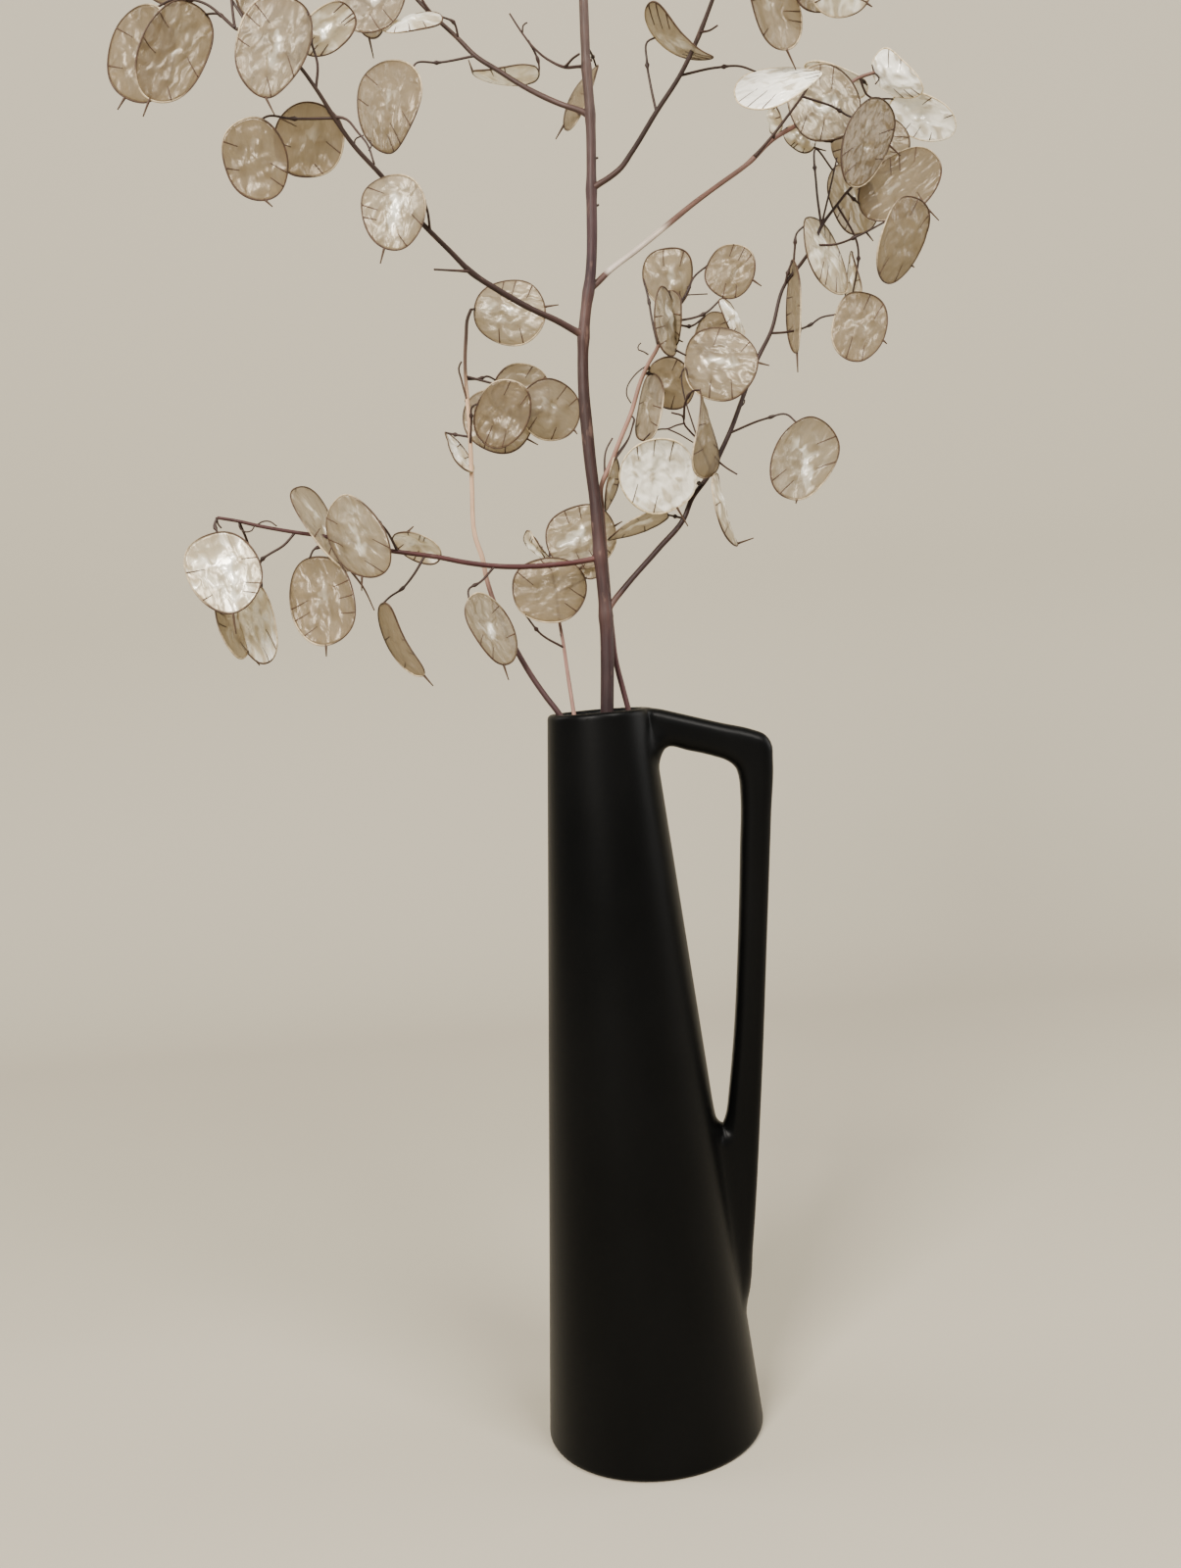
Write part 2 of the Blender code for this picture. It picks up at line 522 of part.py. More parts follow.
def between(ends, share):
    return ends[0] + (ends[1] - ends[0]) * share


def add_pod_blade(name, pod, frame, collection):
    """One pod: a thin dished disc."""
    work = bmesh.new()
    bmesh.ops.create_circle(work, cap_ends=True, cap_tris=True, segments=POD_SIDES, radius=1.0)
    for vert in work.verts:
        vert.co = pod_point(pod, frame, vert.co.x, vert.co.y)
    mesh = bpy.data.meshes.new(name)
    work.to_mesh(mesh)
    work.free()
    blade = new_object(name, mesh, collection)
    solidify = blade.modifiers.new("thickness", "SOLIDIFY")
    solidify.thickness = POD_THICKNESS
    solidify.offset = 0.0
    return blade


def add_pod(name, pod, routes, rng, collection):
    """A pod with its pedicel and its style, hung from its branch."""
    route, depths, _, _ = routes[pod.branch]
    fork, root_depth = nearest_on(route, depths, pod.pedicel[0])
    way = [fork, *pod.pedicel[1:]]
    frame = frame_pod(pod, root_depth + pod.off, rng)
    add_pod_blade(name, pod, frame, collection)
    joint = on_outline(pod, frame, pod.base, SINK)
    end_depth = joint.y / MM
    pixels = way + [pod.base]
    shares = lengths_along(pixels)
    points = []
    for pixel, share in zip(way, shares):
        points.append(seen(pixel, root_depth + (end_depth - root_depth) * share))
    points.append(joint)
    tube(name + "_pedicel", points, [PEDICEL_RADIUS] * len(points), collection)
    if pod.style:
        start = on_outline(pod, frame, pod.style[0], SINK)
        rest = [seen(pixel, start.y / MM) for pixel in pod.style[1:]]
        tube(name + "_style", [start, *rest], [STYLE_RADIUS] * (1 + len(rest)), collection)


def hang_free_pod(name, joint, way_out, rng, collection):
    """A pod of the crown, which the photograph doesn't show, on an arched pedicel."""
    length = rng.uniform(*CROWN_POD_LENGTH)
    width = length / rng.uniform(*CROWN_POD_RATIO)
    out = Vector((way_out.x, way_out.y, 0.0)).normalized()
    top = joint + out * ARCH_OUT + UP * ARCH_UP
    knee = top + out * KNEE_OUT - UP * KNEE_DOWN
    down = (out * rng.uniform(0.0, CROWN_POD_SWING) - UP).normalized()
    facing = rng.uniform(0, pi)
    side = down.cross(Vector((cos(facing), sin(facing), 0.0))).normalized()
    centre = knee + down * length / 2
    frame = PodFrame(centre, down * length / 2, side * width / 2, down.cross(side), *bend(rng))
    add_pod_blade(name, PLAIN_POD, frame, collection)
    start = pod_point(PLAIN_POD, frame, -SINK, 0.0)
    tube(name + "_pedicel", [joint, top, start], [PEDICEL_RADIUS] * 3, collection)
    tip = pod_point(PLAIN_POD, frame, SINK, 0.0)
    end = tip + down * CROWN_STYLE[0] + side * CROWN_STYLE[1]
    tube(name + "_style", [tip, end], [STYLE_RADIUS] * 2, collection)


def add_crown(stem_points, collection):
    """The top of the main stem, past the photograph's edge, with short pod branches."""
    rng = random.Random(CROWN_SEED)
    top = stem_points[-1]
    below = stem_points[-4]
    for index in range(CROWN_BRANCHES):
        share = (index + 0.5) / CROWN_BRANCHES
        root = on_polyline(stem_points, 1.0 - CROWN_STRETCH * (1.0 - share))
        turn = CROWN_TURN * index + CROWN_FIRST_TURN
        out = Vector((cos(turn), sin(turn), 0.0))
        length = between(CROWN_LENGTHS, share)
        elbow = root + (out * CROWN_ELBOW_OUT + UP * CROWN_ELBOW_UP) * length
        tip = root + (out + UP * CROWN_TIP_UP) * length
        name = "crown_%d" % index
        tube(name, [root, elbow, tip], CROWN_RADII, collection)
        for pod_share in CROWN_POD_SHARES:
            joint = elbow.lerp(tip, pod_share)
            aside = out.cross(UP) * rng.choice((-1, 1)) * (1.0 - pod_share)
            pod_name = "%s_pod_%d" % (name, 100 * pod_share)
            hang_free_pod(pod_name, joint, out + aside, rng, collection)
    hang_free_pod("crown_top_pod", top, top - below + CROWN_LEADER_WAY, rng, collection)


def on_polyline(points, share):
    """The point at a share of a polyline's length."""
    runs = [(second - first).length for first, second in zip(points, points[1:])]
    left = sum(runs) * share
    for first, second, run in zip(points, points[1:], runs):
        if left <= run:
            return first.lerp(second, left / run)
        left -= run
    return points[-1]


def add_end_pods(routes, collection):
    """Pods on the ends of the two branches that leave the photograph at its top."""
    rng = random.Random(CROWN_SEED + 1)
    for branch in CUT_OFF_BRANCHES:
        route, depths, _, _ = routes[branch]
        points = [seen(pixel, depth) for pixel, depth in zip(route, depths)]
        ahead = (points[-1] - points[-CUT_OFF_PODS]).normalized()
        for index in range(CUT_OFF_PODS):
            joint = points[-1 - index]
            aside = ahead.cross(UP).normalized() * (1 - index) * CUT_OFF_SPLAY
            hang_free_pod("%s_end_%d" % (branch, index), joint, ahead + aside, rng, collection)


def union(name, keeper, collection, material):
    """Joins everything in a collection to one solid, which becomes the node."""
    joined = keeper.modifiers.new("join", "BOOLEAN")
    joined.operation = "UNION"
    joined.operand_type = "COLLECTION"
    joined.collection = collection
    joined.solver = "MANIFOLD"
    bpy.context.view_layer.update()
    graph = bpy.context.evaluated_depsgraph_get()
    mesh = bpy.data.meshes.new_from_object(keeper.evaluated_get(graph))
    mesh.name = name
    for piece in list(collection.objects):
        bpy.data.objects.remove(piece)
    bpy.data.objects.remove(keeper)
    bpy.data.collections.remove(collection)
    mesh.materials.clear()
    mesh.materials.append(material)
    return new_object(name, mesh, part)


def build_spray(name, routes, material):
    """One cut stem with its branches and pods, fused to one solid."""
    stem = STEMS[name]
    pieces = bpy.data.collections.new(name + "_pieces")
    bpy.context.scene.collection.children.link(pieces)
    route, depths, thick, _ = routes[name]
    shares = lengths_along(route)
    above = [seen(pixel, depth) for pixel, depth in zip(route, depths)]
    inside = [Vector(point) * MM for point in stem.inside]
    radii = [thick[0] * MM] * len(inside) + [between(thick, share) * MM for share in shares]
    keeper = tube(name + "_stem", inside + above, radii, part, STEM_SIDES[name])
    for branch, (route, depths, thick, spray) in routes.items():
        if spray == name and branch != name:
            points = [seen(pixel, depth) for pixel, depth in zip(route, depths)]
            radii = [between(thick, share) * MM for share in lengths_along(route)]
            tube(branch, points, radii, pieces, BRANCH_SIDES)
    for index, (pod_name, pod) in enumerate(PODS.items()):
        if routes[pod.branch][3] == name:
            add_pod(pod_name, pod, routes, random.Random(index), pieces)
    if name == "main_spray":
        add_crown(above, pieces)
        add_end_pods(routes, pieces)
    return union(name, keeper, pieces, material)


def outer_radius(height):
    return between((BASE_RADIUS, RIM_RADIUS), height / JUG_HEIGHT)


def wall_at(height):
    return between((BASE_WALL, RIM_WALL), height / JUG_HEIGHT)


def jug_profile():
    """The jug's section: up the outside, over the rim and down to the inner floor."""
    points = [(0.0, 0.0), (BASE_RADIUS - FOOT_ROUND, 0.0)]
    for step in range(1, ROUND_STEPS + 1):
        angle = pi / 2 * step / ROUND_STEPS
        points.append((BASE_RADIUS - FOOT_ROUND * (1 - sin(angle)), FOOT_ROUND * (1 - cos(angle))))
    points.append((outer_radius(JUG_HEIGHT / 2), JUG_HEIGHT / 2))
    half = RIM_WALL / 2
    for step in range(2 * ROUND_STEPS - 1):
        angle = pi * step / (2 * ROUND_STEPS - 2)
        height = JUG_HEIGHT - RIM_ROUND * (1 - sin(angle))
        points.append((RIM_RADIUS - half + half * cos(angle), height))
    for height in (JUG_HEIGHT / 2, FLOOR_THICKNESS + FLOOR_ROUND[1]):
        points.append((outer_radius(height) - wall_at(height), height))
    points.append((outer_radius(FLOOR_THICKNESS) - BASE_WALL - FLOOR_ROUND[0], FLOOR_THICKNESS))
    points.append((0.0, FLOOR_THICKNESS))
    return points


def build_jug(material):
    """The turned jug, with its handle joined to the wall."""
    mesh = bpy.data.meshes.new("jug_section")
    points = jug_profile()
    edges = [(index, index + 1) for index in range(len(points) - 1)]
    mesh.from_pydata([(radius, 0.0, height) for radius, height in points], edges, [])
    keeper = new_object("jug_body", mesh, part)
    screw = keeper.modifiers.new("turn", "SCREW")
    screw.steps = JUG_SIDES
    screw.render_steps = JUG_SIDES
    screw.use_merge_vertices = True
    screw.merge_threshold = WELD
    screw.use_normal_calculate = True
    bpy.context.view_layer.update()
    graph = bpy.context.evaluated_depsgraph_get()
    solid = bpy.data.meshes.new_from_object(keeper.evaluated_get(graph))
    bpy.data.objects.remove(keeper)
    close_and_face_out(solid)
    body = new_object("jug_body", solid, part)
    pieces = bpy.data.collections.new("vase_pieces")
    bpy.context.scene.collection.children.link(pieces)
    build_handle(pieces)
    return union("vase", body, pieces, material)


def rooted(low, high):
    """The handle's root between two heights, inside the thickness of the jug's wall."""
    heights = [between((low, high), share) for share in (0.0, 0.5, 1.0)]
    return [(outer_radius(height) - ROOT_SINK, height) for height in heights]


def build_handle(collection):
    """The handle: a flat outline with its finger gap, round-edged, sunk into the wall."""
    outline = [(x * MM, z * MM) for x, z in HANDLE_OUTER]
    outline += rooted(HANDLE_OUTER[-1][1] * MM, GAP_EDGE[-1][1] * MM)
    outline += [(x * MM, z * MM) for x, z in reversed(GAP_EDGE)]
    outline += rooted(GAP_EDGE[0][1] * MM, HANDLE_OUTER[0][1] * MM)
    curve = bpy.data.curves.new("handle", "CURVE")
    curve.dimensions = "2D"
    curve.fill_mode = "BOTH"
    curve.extrude = HANDLE_DEPTH / 2 - HANDLE_ROUND
    curve.bevel_depth = HANDLE_ROUND
    curve.bevel_resolution = 2
    curve.offset = -HANDLE_ROUND
    spline = curve.splines.new("POLY")
    spline.points.add(len(outline) - 1)
    for spot, (x, z) in zip(spline.points, outline):
        spot.co = (x, z, 0.0, 1.0)
    spline.use_cyclic_u = True
    handle = new_object("handle", curve, collection)
    handle.rotation_euler = (pi / 2, 0.0, 0.0)
    return solid_from_curve(handle, collection)


for old in list(bpy.data.objects):
    bpy.data.objects.remove(old)
part = bpy.data.collections.new("dried honesty in vase")
bpy.context.scene.collection.children.link(part)
build_jug(make_material("satin black glaze", BLACK, 0.35))
all_routes = settle_routes()
paper = make_material("papery pods and stems", PAPER, 0.5)
for spray_name in STEMS:
    build_spray(spray_name, all_routes, paper)
for shape in [thing for thing in bpy.data.objects if thing.name.startswith("section_")]:
    bpy.data.objects.remove(shape)
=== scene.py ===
# %% [markdown]
# # Dried honesty in a black jug
#
# The object is a tall black stoneware jug that holds four cut stems of dried honesty. The
# plant's seed pods have lost their outer walls, so what hangs on the stems is the thin pearly
# sheet that stood between the seeds, in its dark rim. This lesson dresses the plain solids of
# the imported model: it keeps their places and sizes and makes every surface anew as a grid of
# points worked out with numpy.

# %% Load the fixed model
import json
import random
from collections import namedtuple

import bpy
import numpy as np
from mathutils import Matrix, Vector

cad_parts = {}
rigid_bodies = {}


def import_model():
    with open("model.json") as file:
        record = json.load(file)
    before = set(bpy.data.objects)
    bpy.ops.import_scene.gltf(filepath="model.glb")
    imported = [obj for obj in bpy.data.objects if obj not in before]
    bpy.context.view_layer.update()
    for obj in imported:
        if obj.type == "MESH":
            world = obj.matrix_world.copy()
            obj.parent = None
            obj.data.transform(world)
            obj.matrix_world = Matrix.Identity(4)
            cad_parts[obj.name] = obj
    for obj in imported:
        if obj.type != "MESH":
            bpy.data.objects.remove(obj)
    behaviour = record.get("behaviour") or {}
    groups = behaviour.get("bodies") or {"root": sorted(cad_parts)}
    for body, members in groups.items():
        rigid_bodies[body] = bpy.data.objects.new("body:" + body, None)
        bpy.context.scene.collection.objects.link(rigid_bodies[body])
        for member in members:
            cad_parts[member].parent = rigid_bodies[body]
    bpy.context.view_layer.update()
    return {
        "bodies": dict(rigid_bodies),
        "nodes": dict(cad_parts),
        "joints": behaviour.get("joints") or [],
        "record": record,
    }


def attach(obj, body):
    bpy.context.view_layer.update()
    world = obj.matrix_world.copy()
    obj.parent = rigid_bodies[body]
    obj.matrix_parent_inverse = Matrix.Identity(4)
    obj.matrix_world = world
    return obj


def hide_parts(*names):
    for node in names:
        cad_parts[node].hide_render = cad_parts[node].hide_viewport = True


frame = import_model()
print("solids to dress:", ", ".join(sorted(frame["nodes"])))

# %% [markdown]
# ## The camera
#
# A turned jug is symmetric about its own axis, so its outline in the photograph gives the
# camera away: how far it looks down, how far it leans to one side and how far off it stands.
# These numbers also turn a pixel of the photograph into a point in space, once a depth is
# chosen, and that is how every stem and pod below finds its place.

# %% The camera that looks as the photograph does
MM = 0.001
PHOTO_SIZE = (1205, 1600)
FOCAL_PIXELS = 1500.0
MIDDLE_PIXEL = np.array((602.5, 800.0))
PITCH = np.radians(5.137)
ROLL = np.radians(4.716)
EYE = np.array((-0.0063, -0.669, 0.3672))
RIGHT = np.array((1.0, 0.0, 0.0))
LOOK = np.array((0.0, np.cos(PITCH), -np.sin(PITCH)))
LOOK_UP = np.array((0.0, np.sin(PITCH), np.cos(PITCH)))
UP = np.array((0.0, 0.0, 1.0))
SENSOR = 36.0
JUG_FOOT_PIXEL = (668.0, 1506.0)
JUG_FOOT_DEPTH = -50.0


def make_camera():
    """A camera whose own axes are the fitted look, rolled about it."""
    data = bpy.data.cameras.new("photo_camera")
    data.sensor_width = SENSOR
    data.lens = SENSOR * FOCAL_PIXELS / max(PHOTO_SIZE)
    camera = bpy.data.objects.new("photo_camera", data)
    bpy.context.scene.collection.objects.link(camera)
    right = RIGHT * np.cos(ROLL) - LOOK_UP * np.sin(ROLL)
    upward = RIGHT * np.sin(ROLL) + LOOK_UP * np.cos(ROLL)
    turn = Matrix(np.column_stack((right, upward, -LOOK)).tolist()).to_4x4()
    camera.matrix_world = Matrix.Translation(EYE.tolist()) @ turn
    bpy.context.scene.camera = camera


def seen(pixels, depths):
    """The points at depths, in millimetres behind the jug's axis, that pixels show."""
    across, down = np.moveaxis(np.asarray(pixels, float) - MIDDLE_PIXEL, -1, 0)
    level_across = (np.cos(ROLL) * across - np.sin(ROLL) * down) / FOCAL_PIXELS
    level_down = (np.sin(ROLL) * across + np.cos(ROLL) * down) / FOCAL_PIXELS
    rays = LOOK + level_across[..., None] * RIGHT - level_down[..., None] * LOOK_UP
    reach = (np.asarray(depths, float) * MM - EYE[1]) / rays[..., 1]
    return EYE + rays * reach[..., None]


make_camera()
print("the jug's foot is at", seen(JUG_FOOT_PIXEL, JUG_FOOT_DEPTH).round(3))

# %% [markdown]
# ## Grids that become meshes
#
# Nearly every piece here is a grid of points that closes round one way and ends in a point or
# a cap the other way: a stem is one, and so is a pod, whose grid runs from the middle of one
# face over the edge to the middle of the other. A bundle gathers many such grids and makes one
# mesh of them. It keeps three values with each point: its tint, its place on its own piece,
# which lets a pattern follow a leaning pod or a bent stem, and how pearly it is.

# %% A bundle of grids


class Bundle:
    """Closed grids gathered into one mesh, each point with a tint and a place on its piece."""

    def __init__(self):
        """Empty lists, one entry of each for every grid that is taken."""
        self.points, self.quads, self.triangles = [], [], []
        self.tints, self.places, self.pearls = [], [], []
        self.size = 0

    def take(self, grid, tint, place, looped=False, pearl=0.0):
        """Adds a grid of rows by columns, closed round its columns, and round its rows if
        looped. Otherwise a fan of triangles round one middle point closes each end."""
        rows, columns = grid.shape[:2]
        index = np.arange(rows * columns).reshape(rows, columns) + self.size
        beside = np.roll(index, -1, axis=1)
        above, below = (np.roll(index, -1, axis=0), index) if looped else (index[1:], index[:-1])
        aside, under = (np.roll(beside, -1, axis=0), beside) if looped else (beside[1:], beside[:-1])
        self.quads.append(np.stack((below, under, aside, above), axis=-1).reshape(-1, 4))
        tint = np.broadcast_to(tint, grid.shape).reshape(-1, 3)
        place = np.broadcast_to(place, grid.shape).reshape(-1, 3)
        pearl = np.broadcast_to(pearl, grid.shape[:2]).ravel()
        points = grid.reshape(-1, 3)
        if not looped:
            ends = np.array((self.size + len(points), self.size + len(points) + 1))
            first, last = index[0], index[-1]
            self.triangles.append(np.stack((np.full(columns, ends[0]), np.roll(first, -1), first), axis=1))
            self.triangles.append(np.stack((np.full(columns, ends[1]), last, np.roll(last, -1)), axis=1))
            points = np.vstack((points, grid[0].mean(axis=0), grid[-1].mean(axis=0)))
            tint = np.vstack((tint, tint[:1], tint[-1:]))
            place = np.vstack((place, place[:columns].mean(axis=0), place[-columns:].mean(axis=0)))
            pearl = np.concatenate((pearl, pearl[:1], pearl[-1:]))
        self.points.append(points)
        self.tints.append(tint)
        self.places.append(place)
        self.pearls.append(pearl)
        self.size += len(points)

    def make(self, name, material, slot):
        """One smooth mesh object of all grids, riding on the jug's body."""
        triangles = np.vstack(self.triangles) if self.triangles else np.zeros((0, 3), int)
        made = mesh_object(name, np.vstack(self.points), np.vstack(self.quads), triangles)
        put_values(made.data, "tint", "FLOAT_COLOR", "color",
                   np.hstack((np.vstack(self.tints), np.ones((self.size, 1)))))
        put_values(made.data, "place", "FLOAT_VECTOR", "vector", np.vstack(self.places))
        put_values(made.data, "pearl", "FLOAT", "value", np.concatenate(self.pearls))
        made.data.materials.append(material)
        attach(made, "root")
        faces = 2 * len(np.vstack(self.quads)) + len(triangles)
        print(f"{name}: {faces} triangles")
        return made


def mesh_object(name, points, quads, triangles):
    """An object at the origin whose mesh holds these points and faces, shaded smooth."""
    mesh = bpy.data.meshes.new(name)
    mesh.vertices.add(len(points))
    mesh.vertices.foreach_set("co", points.astype(np.float32).ravel())
    corners = np.concatenate((quads.ravel(), triangles.ravel()))
    starts = np.concatenate((np.arange(len(quads)) * 4, len(quads) * 4 + np.arange(len(triangles)) * 3))
    mesh.loops.add(len(corners))
    mesh.loops.foreach_set("vertex_index", corners.astype(np.int32))
    mesh.polygons.add(len(starts))
    mesh.polygons.foreach_set("loop_start", starts.astype(np.int32))
    mesh.update(calc_edges=True)
    mesh.shade_smooth()
    made = bpy.data.objects.new(name, mesh)
    bpy.context.scene.collection.objects.link(made)
    return made


def put_values(mesh, name, kind, field, values):
    """Stores one value for each point of a mesh."""
    layer = mesh.attributes.new(name, kind, "POINT")
    layer.data.foreach_set(field, values.astype(np.float32).ravel())


# %% [markdown]
# ## Ways and tubes
#
# A stem is a round section carried along a way. The way is a smooth cubic through the points
# that the photograph gives, with its direction at each point weighed by the distances to the
# two neighbours, so that it neither overshoots nor kinks. The section stands square to it. A
# curve with a bevel would do for a plain tube, but these sections can swell and have ribs, and
# every point knows its place along the stem.

# %% Smooth ways, and sections carried along them
VIEW_AXIS = np.array((0.0, 1.0, 0.0))
PER_SPAN = 12
FEWEST_STOPS = 4
LEAST_LENGTH = 1e-12


def unit(vectors):
    """The vectors at length 1."""
    return vectors / np.maximum(np.linalg.norm(vectors, axis=-1, keepdims=True), LEAST_LENGTH)


def between(pair, share):
    """The value at a share of the way from the first of a pair to the second."""
    return pair[0] + (pair[1] - pair[0]) * share


def round_angles(sides):
    """Even angles once round."""
    return 2 * np.pi * np.arange(sides) / sides


def smooth_way(points, step):
    """Points every step metres along a smooth cubic through the given points, the share of the
    given points' own length at each, and the length that lies before each."""
    points = np.asarray(points, float)
    spans = np.linalg.norm(np.diff(points, axis=0), axis=1)
    slopes = np.diff(points, axis=0) / spans[:, None]
    inner = slopes[:-1] * spans[1:, None] + slopes[1:] * spans[:-1, None]
    inner = inner / (spans[1:] + spans[:-1])[:, None]
    slopes = np.vstack((slopes[:1], inner, slopes[-1:]))
    t = (np.arange(PER_SPAN) / PER_SPAN)[None, :, None]
    start, end = points[:-1, None], points[1:, None]
    leave, arrive = slopes[:-1, None] * spans[:, None, None], slopes[1:, None] * spans[:, None, None]
    curve = ((2 * t**3 - 3 * t**2 + 1) * start + (t**3 - 2 * t**2 + t) * leave
             + (3 * t**2 - 2 * t**3) * end + (t**3 - t**2) * arrive)
    curve = np.vstack((curve.reshape(-1, 3), points[-1]))
    before = np.concatenate(([0.0], np.cumsum(spans)))
    shares = np.interp(np.arange(len(curve)) / PER_SPAN, np.arange(len(points)), before / before[-1])
    run = np.concatenate(([0.0], np.cumsum(np.linalg.norm(np.diff(curve, axis=0), axis=1))))
    count = max(FEWEST_STOPS, int(np.ceil(run[-1] / step)) + 1)
    stops = np.linspace(0.0, run[-1], count)
    way = np.stack([np.interp(stops, run, curve[:, axis]) for axis in range(3)], axis=1)
    return way, np.interp(stops, run, shares), stops


def carry_section(way, radii, sides, swell=None):
    """A round section, swelled by a factor for each angle if given, square to a way."""
    ahead = unit(np.gradient(way, axis=0))
    side = unit(np.cross(ahead, VIEW_AXIS))
    lift = np.cross(ahead, side)
    angles = round_angles(sides)
    ring = np.cos(angles)[:, None] * side[:, None] + np.sin(angles)[:, None] * lift[:, None]
    reach = np.broadcast_to(radii, len(way))[:, None] * (1.0 if swell is None else swell)
    return way[:, None] + ring * np.broadcast_to(reach, (len(way), sides))[..., None]


def tube_places(stops, sides, radius):
    """Places on a tube's own skin: on an even circle round it, and the length along it."""
    angles = round_angles(sides)
    around = np.stack((np.cos(angles), np.sin(angles)), axis=1) * radius
    return np.concatenate((np.broadcast_to(around, (len(stops), sides, 2)),
                           np.broadcast_to(stops[:, None, None], (len(stops), sides, 1))), axis=2)


def nearest_point(way, point):
    """The place in a way's list that lies nearest to a point."""
    return int(np.argmin(np.linalg.norm(way - point, axis=1)))


# %% [markdown]
# ## The jug
#
# The jug and its handle are one piece of clay, with soft hollows where the handle leaves the
# wall. Two meshes pushed into each other would show a hard seam there. So the jug is written
# as a distance: a formula that says how far any point lies outside the clay. This first cell
# sets down its sizes. The jug's wall is a straight cone, and the handle is a flat outline,
# drawn in the plane through the jug's axis, that is given its depth later.

# %% The jug's sizes and its handle's outline
JUG_HEIGHT = 0.340
BASE_RADIUS = 0.0508
RIM_RADIUS = 0.0233
FOOT_ROUND = 0.0027
RIM_ROUND = 0.0019
RIM_WALL = 0.0040
BASE_WALL = 0.0050
FLOOR_THICKNESS = 0.0060
HOLLOW_ROUND = 0.0080
HANDLE_DEPTH = 0.0145
HANDLE_ROUND = 0.0052
ROOT_SINK = 0.0030
EDGE_STEP = 0.0022

# Where the handle's outer and inner edges run, as (x, z) in millimetres
HANDLE_OUTER = [(22.4, 340.4), (36.8, 335.9), (55.2, 330.1), (69.5, 325.8), (74.6, 323.4),
                (77.3, 318.8), (77.4, 312.0), (74.8, 286.7), (69.2, 233.4), (61.0, 157.0),
                (51.6, 82.4), (49.6, 69.5), (47.6, 63.4), (44.6, 59.6)]
GAP_EDGE = [(24.9, 318.8), (28.8, 321.3), (39.3, 318.8), (50.3, 315.4), (56.8, 312.6),
            (60.4, 309.2), (61.7, 304.1), (61.8, 297.0), (59.7, 270.7), (55.0, 222.1),
            (50.6, 185.4), (46.3, 158.2), (44.0, 145.2), (42.6, 140.4), (41.0, 139.3),
            (39.9, 141.8)]


def outer_radius(height):
    """The cone's radius at a height, on a straight line from the base's to the rim's."""
    return BASE_RADIUS + (RIM_RADIUS - BASE_RADIUS) * height / JUG_HEIGHT


def inner_radius(height):
    """The hollow's radius: the cone's, less a wall that thins evenly towards the rim."""
    return outer_radius(height) - BASE_WALL - (RIM_WALL - BASE_WALL) * height / JUG_HEIGHT


def smooth_edge(points):
    """A finer edge, with soft bends at the points that are given."""
    flat = np.array([(x, 0.0, z) for x, z in points]) * MM
    return smooth_way(flat, EDGE_STEP)[0][:, (0, 2)]


def handle_outline():
    """The handle's closed outline: its two edges, and its roots inside the jug's wall."""
    outer, gap = smooth_edge(HANDLE_OUTER), smooth_edge(GAP_EDGE)
    low = np.linspace(outer[-1, 1], gap[-1, 1], 3)
    high = np.linspace(gap[0, 1], outer[0, 1], 3)
    roots = [np.stack((outer_radius(heights) - ROOT_SINK, heights), axis=1) for heights in (low, high)]
    return np.vstack((outer, roots[0], gap[::-1], roots[1]))


HANDLE_OUTLINE = handle_outline()
print(f"mouth {2 * inner_radius(JUG_HEIGHT) / MM:.1f} mm wide inside,",
      len(HANDLE_OUTLINE), "points round the handle")

# %% [markdown]
# ## The jug as a distance
#
# Two solids meet where the larger of their distances counts, and a rounded edge comes from
# measuring the corner with a circle. Two solids grow together where the smaller distance
# counts, and a little is taken off it in the corner, which makes the fillet. The handle's
# fillet is wide, as fingers leave it in soft clay, but narrows close under the rim, so that the
# lip keeps its edge. The hollow is the same cone again, smaller, and turned inside out.

# %% How the jug's shapes meet
FILLET = 0.0085
FILLET_TOP = 0.336
FILLET_FADE = 0.013
LIP_FILLET = 0.30


def meet(first, second, radius):
    """The distance to what lies in both solids, with their shared edge rounded."""
    a = first + radius
    b = second + radius
    outside = np.hypot(np.maximum(a, 0.0), np.maximum(b, 0.0))
    return np.minimum(np.maximum(a, b), 0.0) + outside - radius


def grow_together(first, second, reach):
    """The distance to both solids as one, with a fillet in their corner."""
    share = np.clip(0.5 + 0.5 * (second - first) / reach, 0.0, 1.0)
    return second + (first - second) * share - reach * share * (1.0 - share)


def outline_distance(x, z, outline):
    """How far points of the plane lie outside a closed outline, less than zero inside it."""
    nearest = np.full(x.shape, np.inf)
    inside = np.zeros(x.shape, bool)
    for (x0, z0), (x1, z1) in zip(outline, np.roll(outline, -1, axis=0)):
        run, rise = x1 - x0, z1 - z0
        share = np.clip(((x - x0) * run + (z - z0) * rise) / (run * run + rise * rise), 0.0, 1.0)
        nearest = np.minimum(nearest, np.hypot(x - x0 - run * share, z - z0 - rise * share))
        if rise:
            inside ^= ((z0 > z) != (z1 > z)) & (x < x0 + run * (z - z0) / rise)
    return np.where(inside, -nearest, nearest)


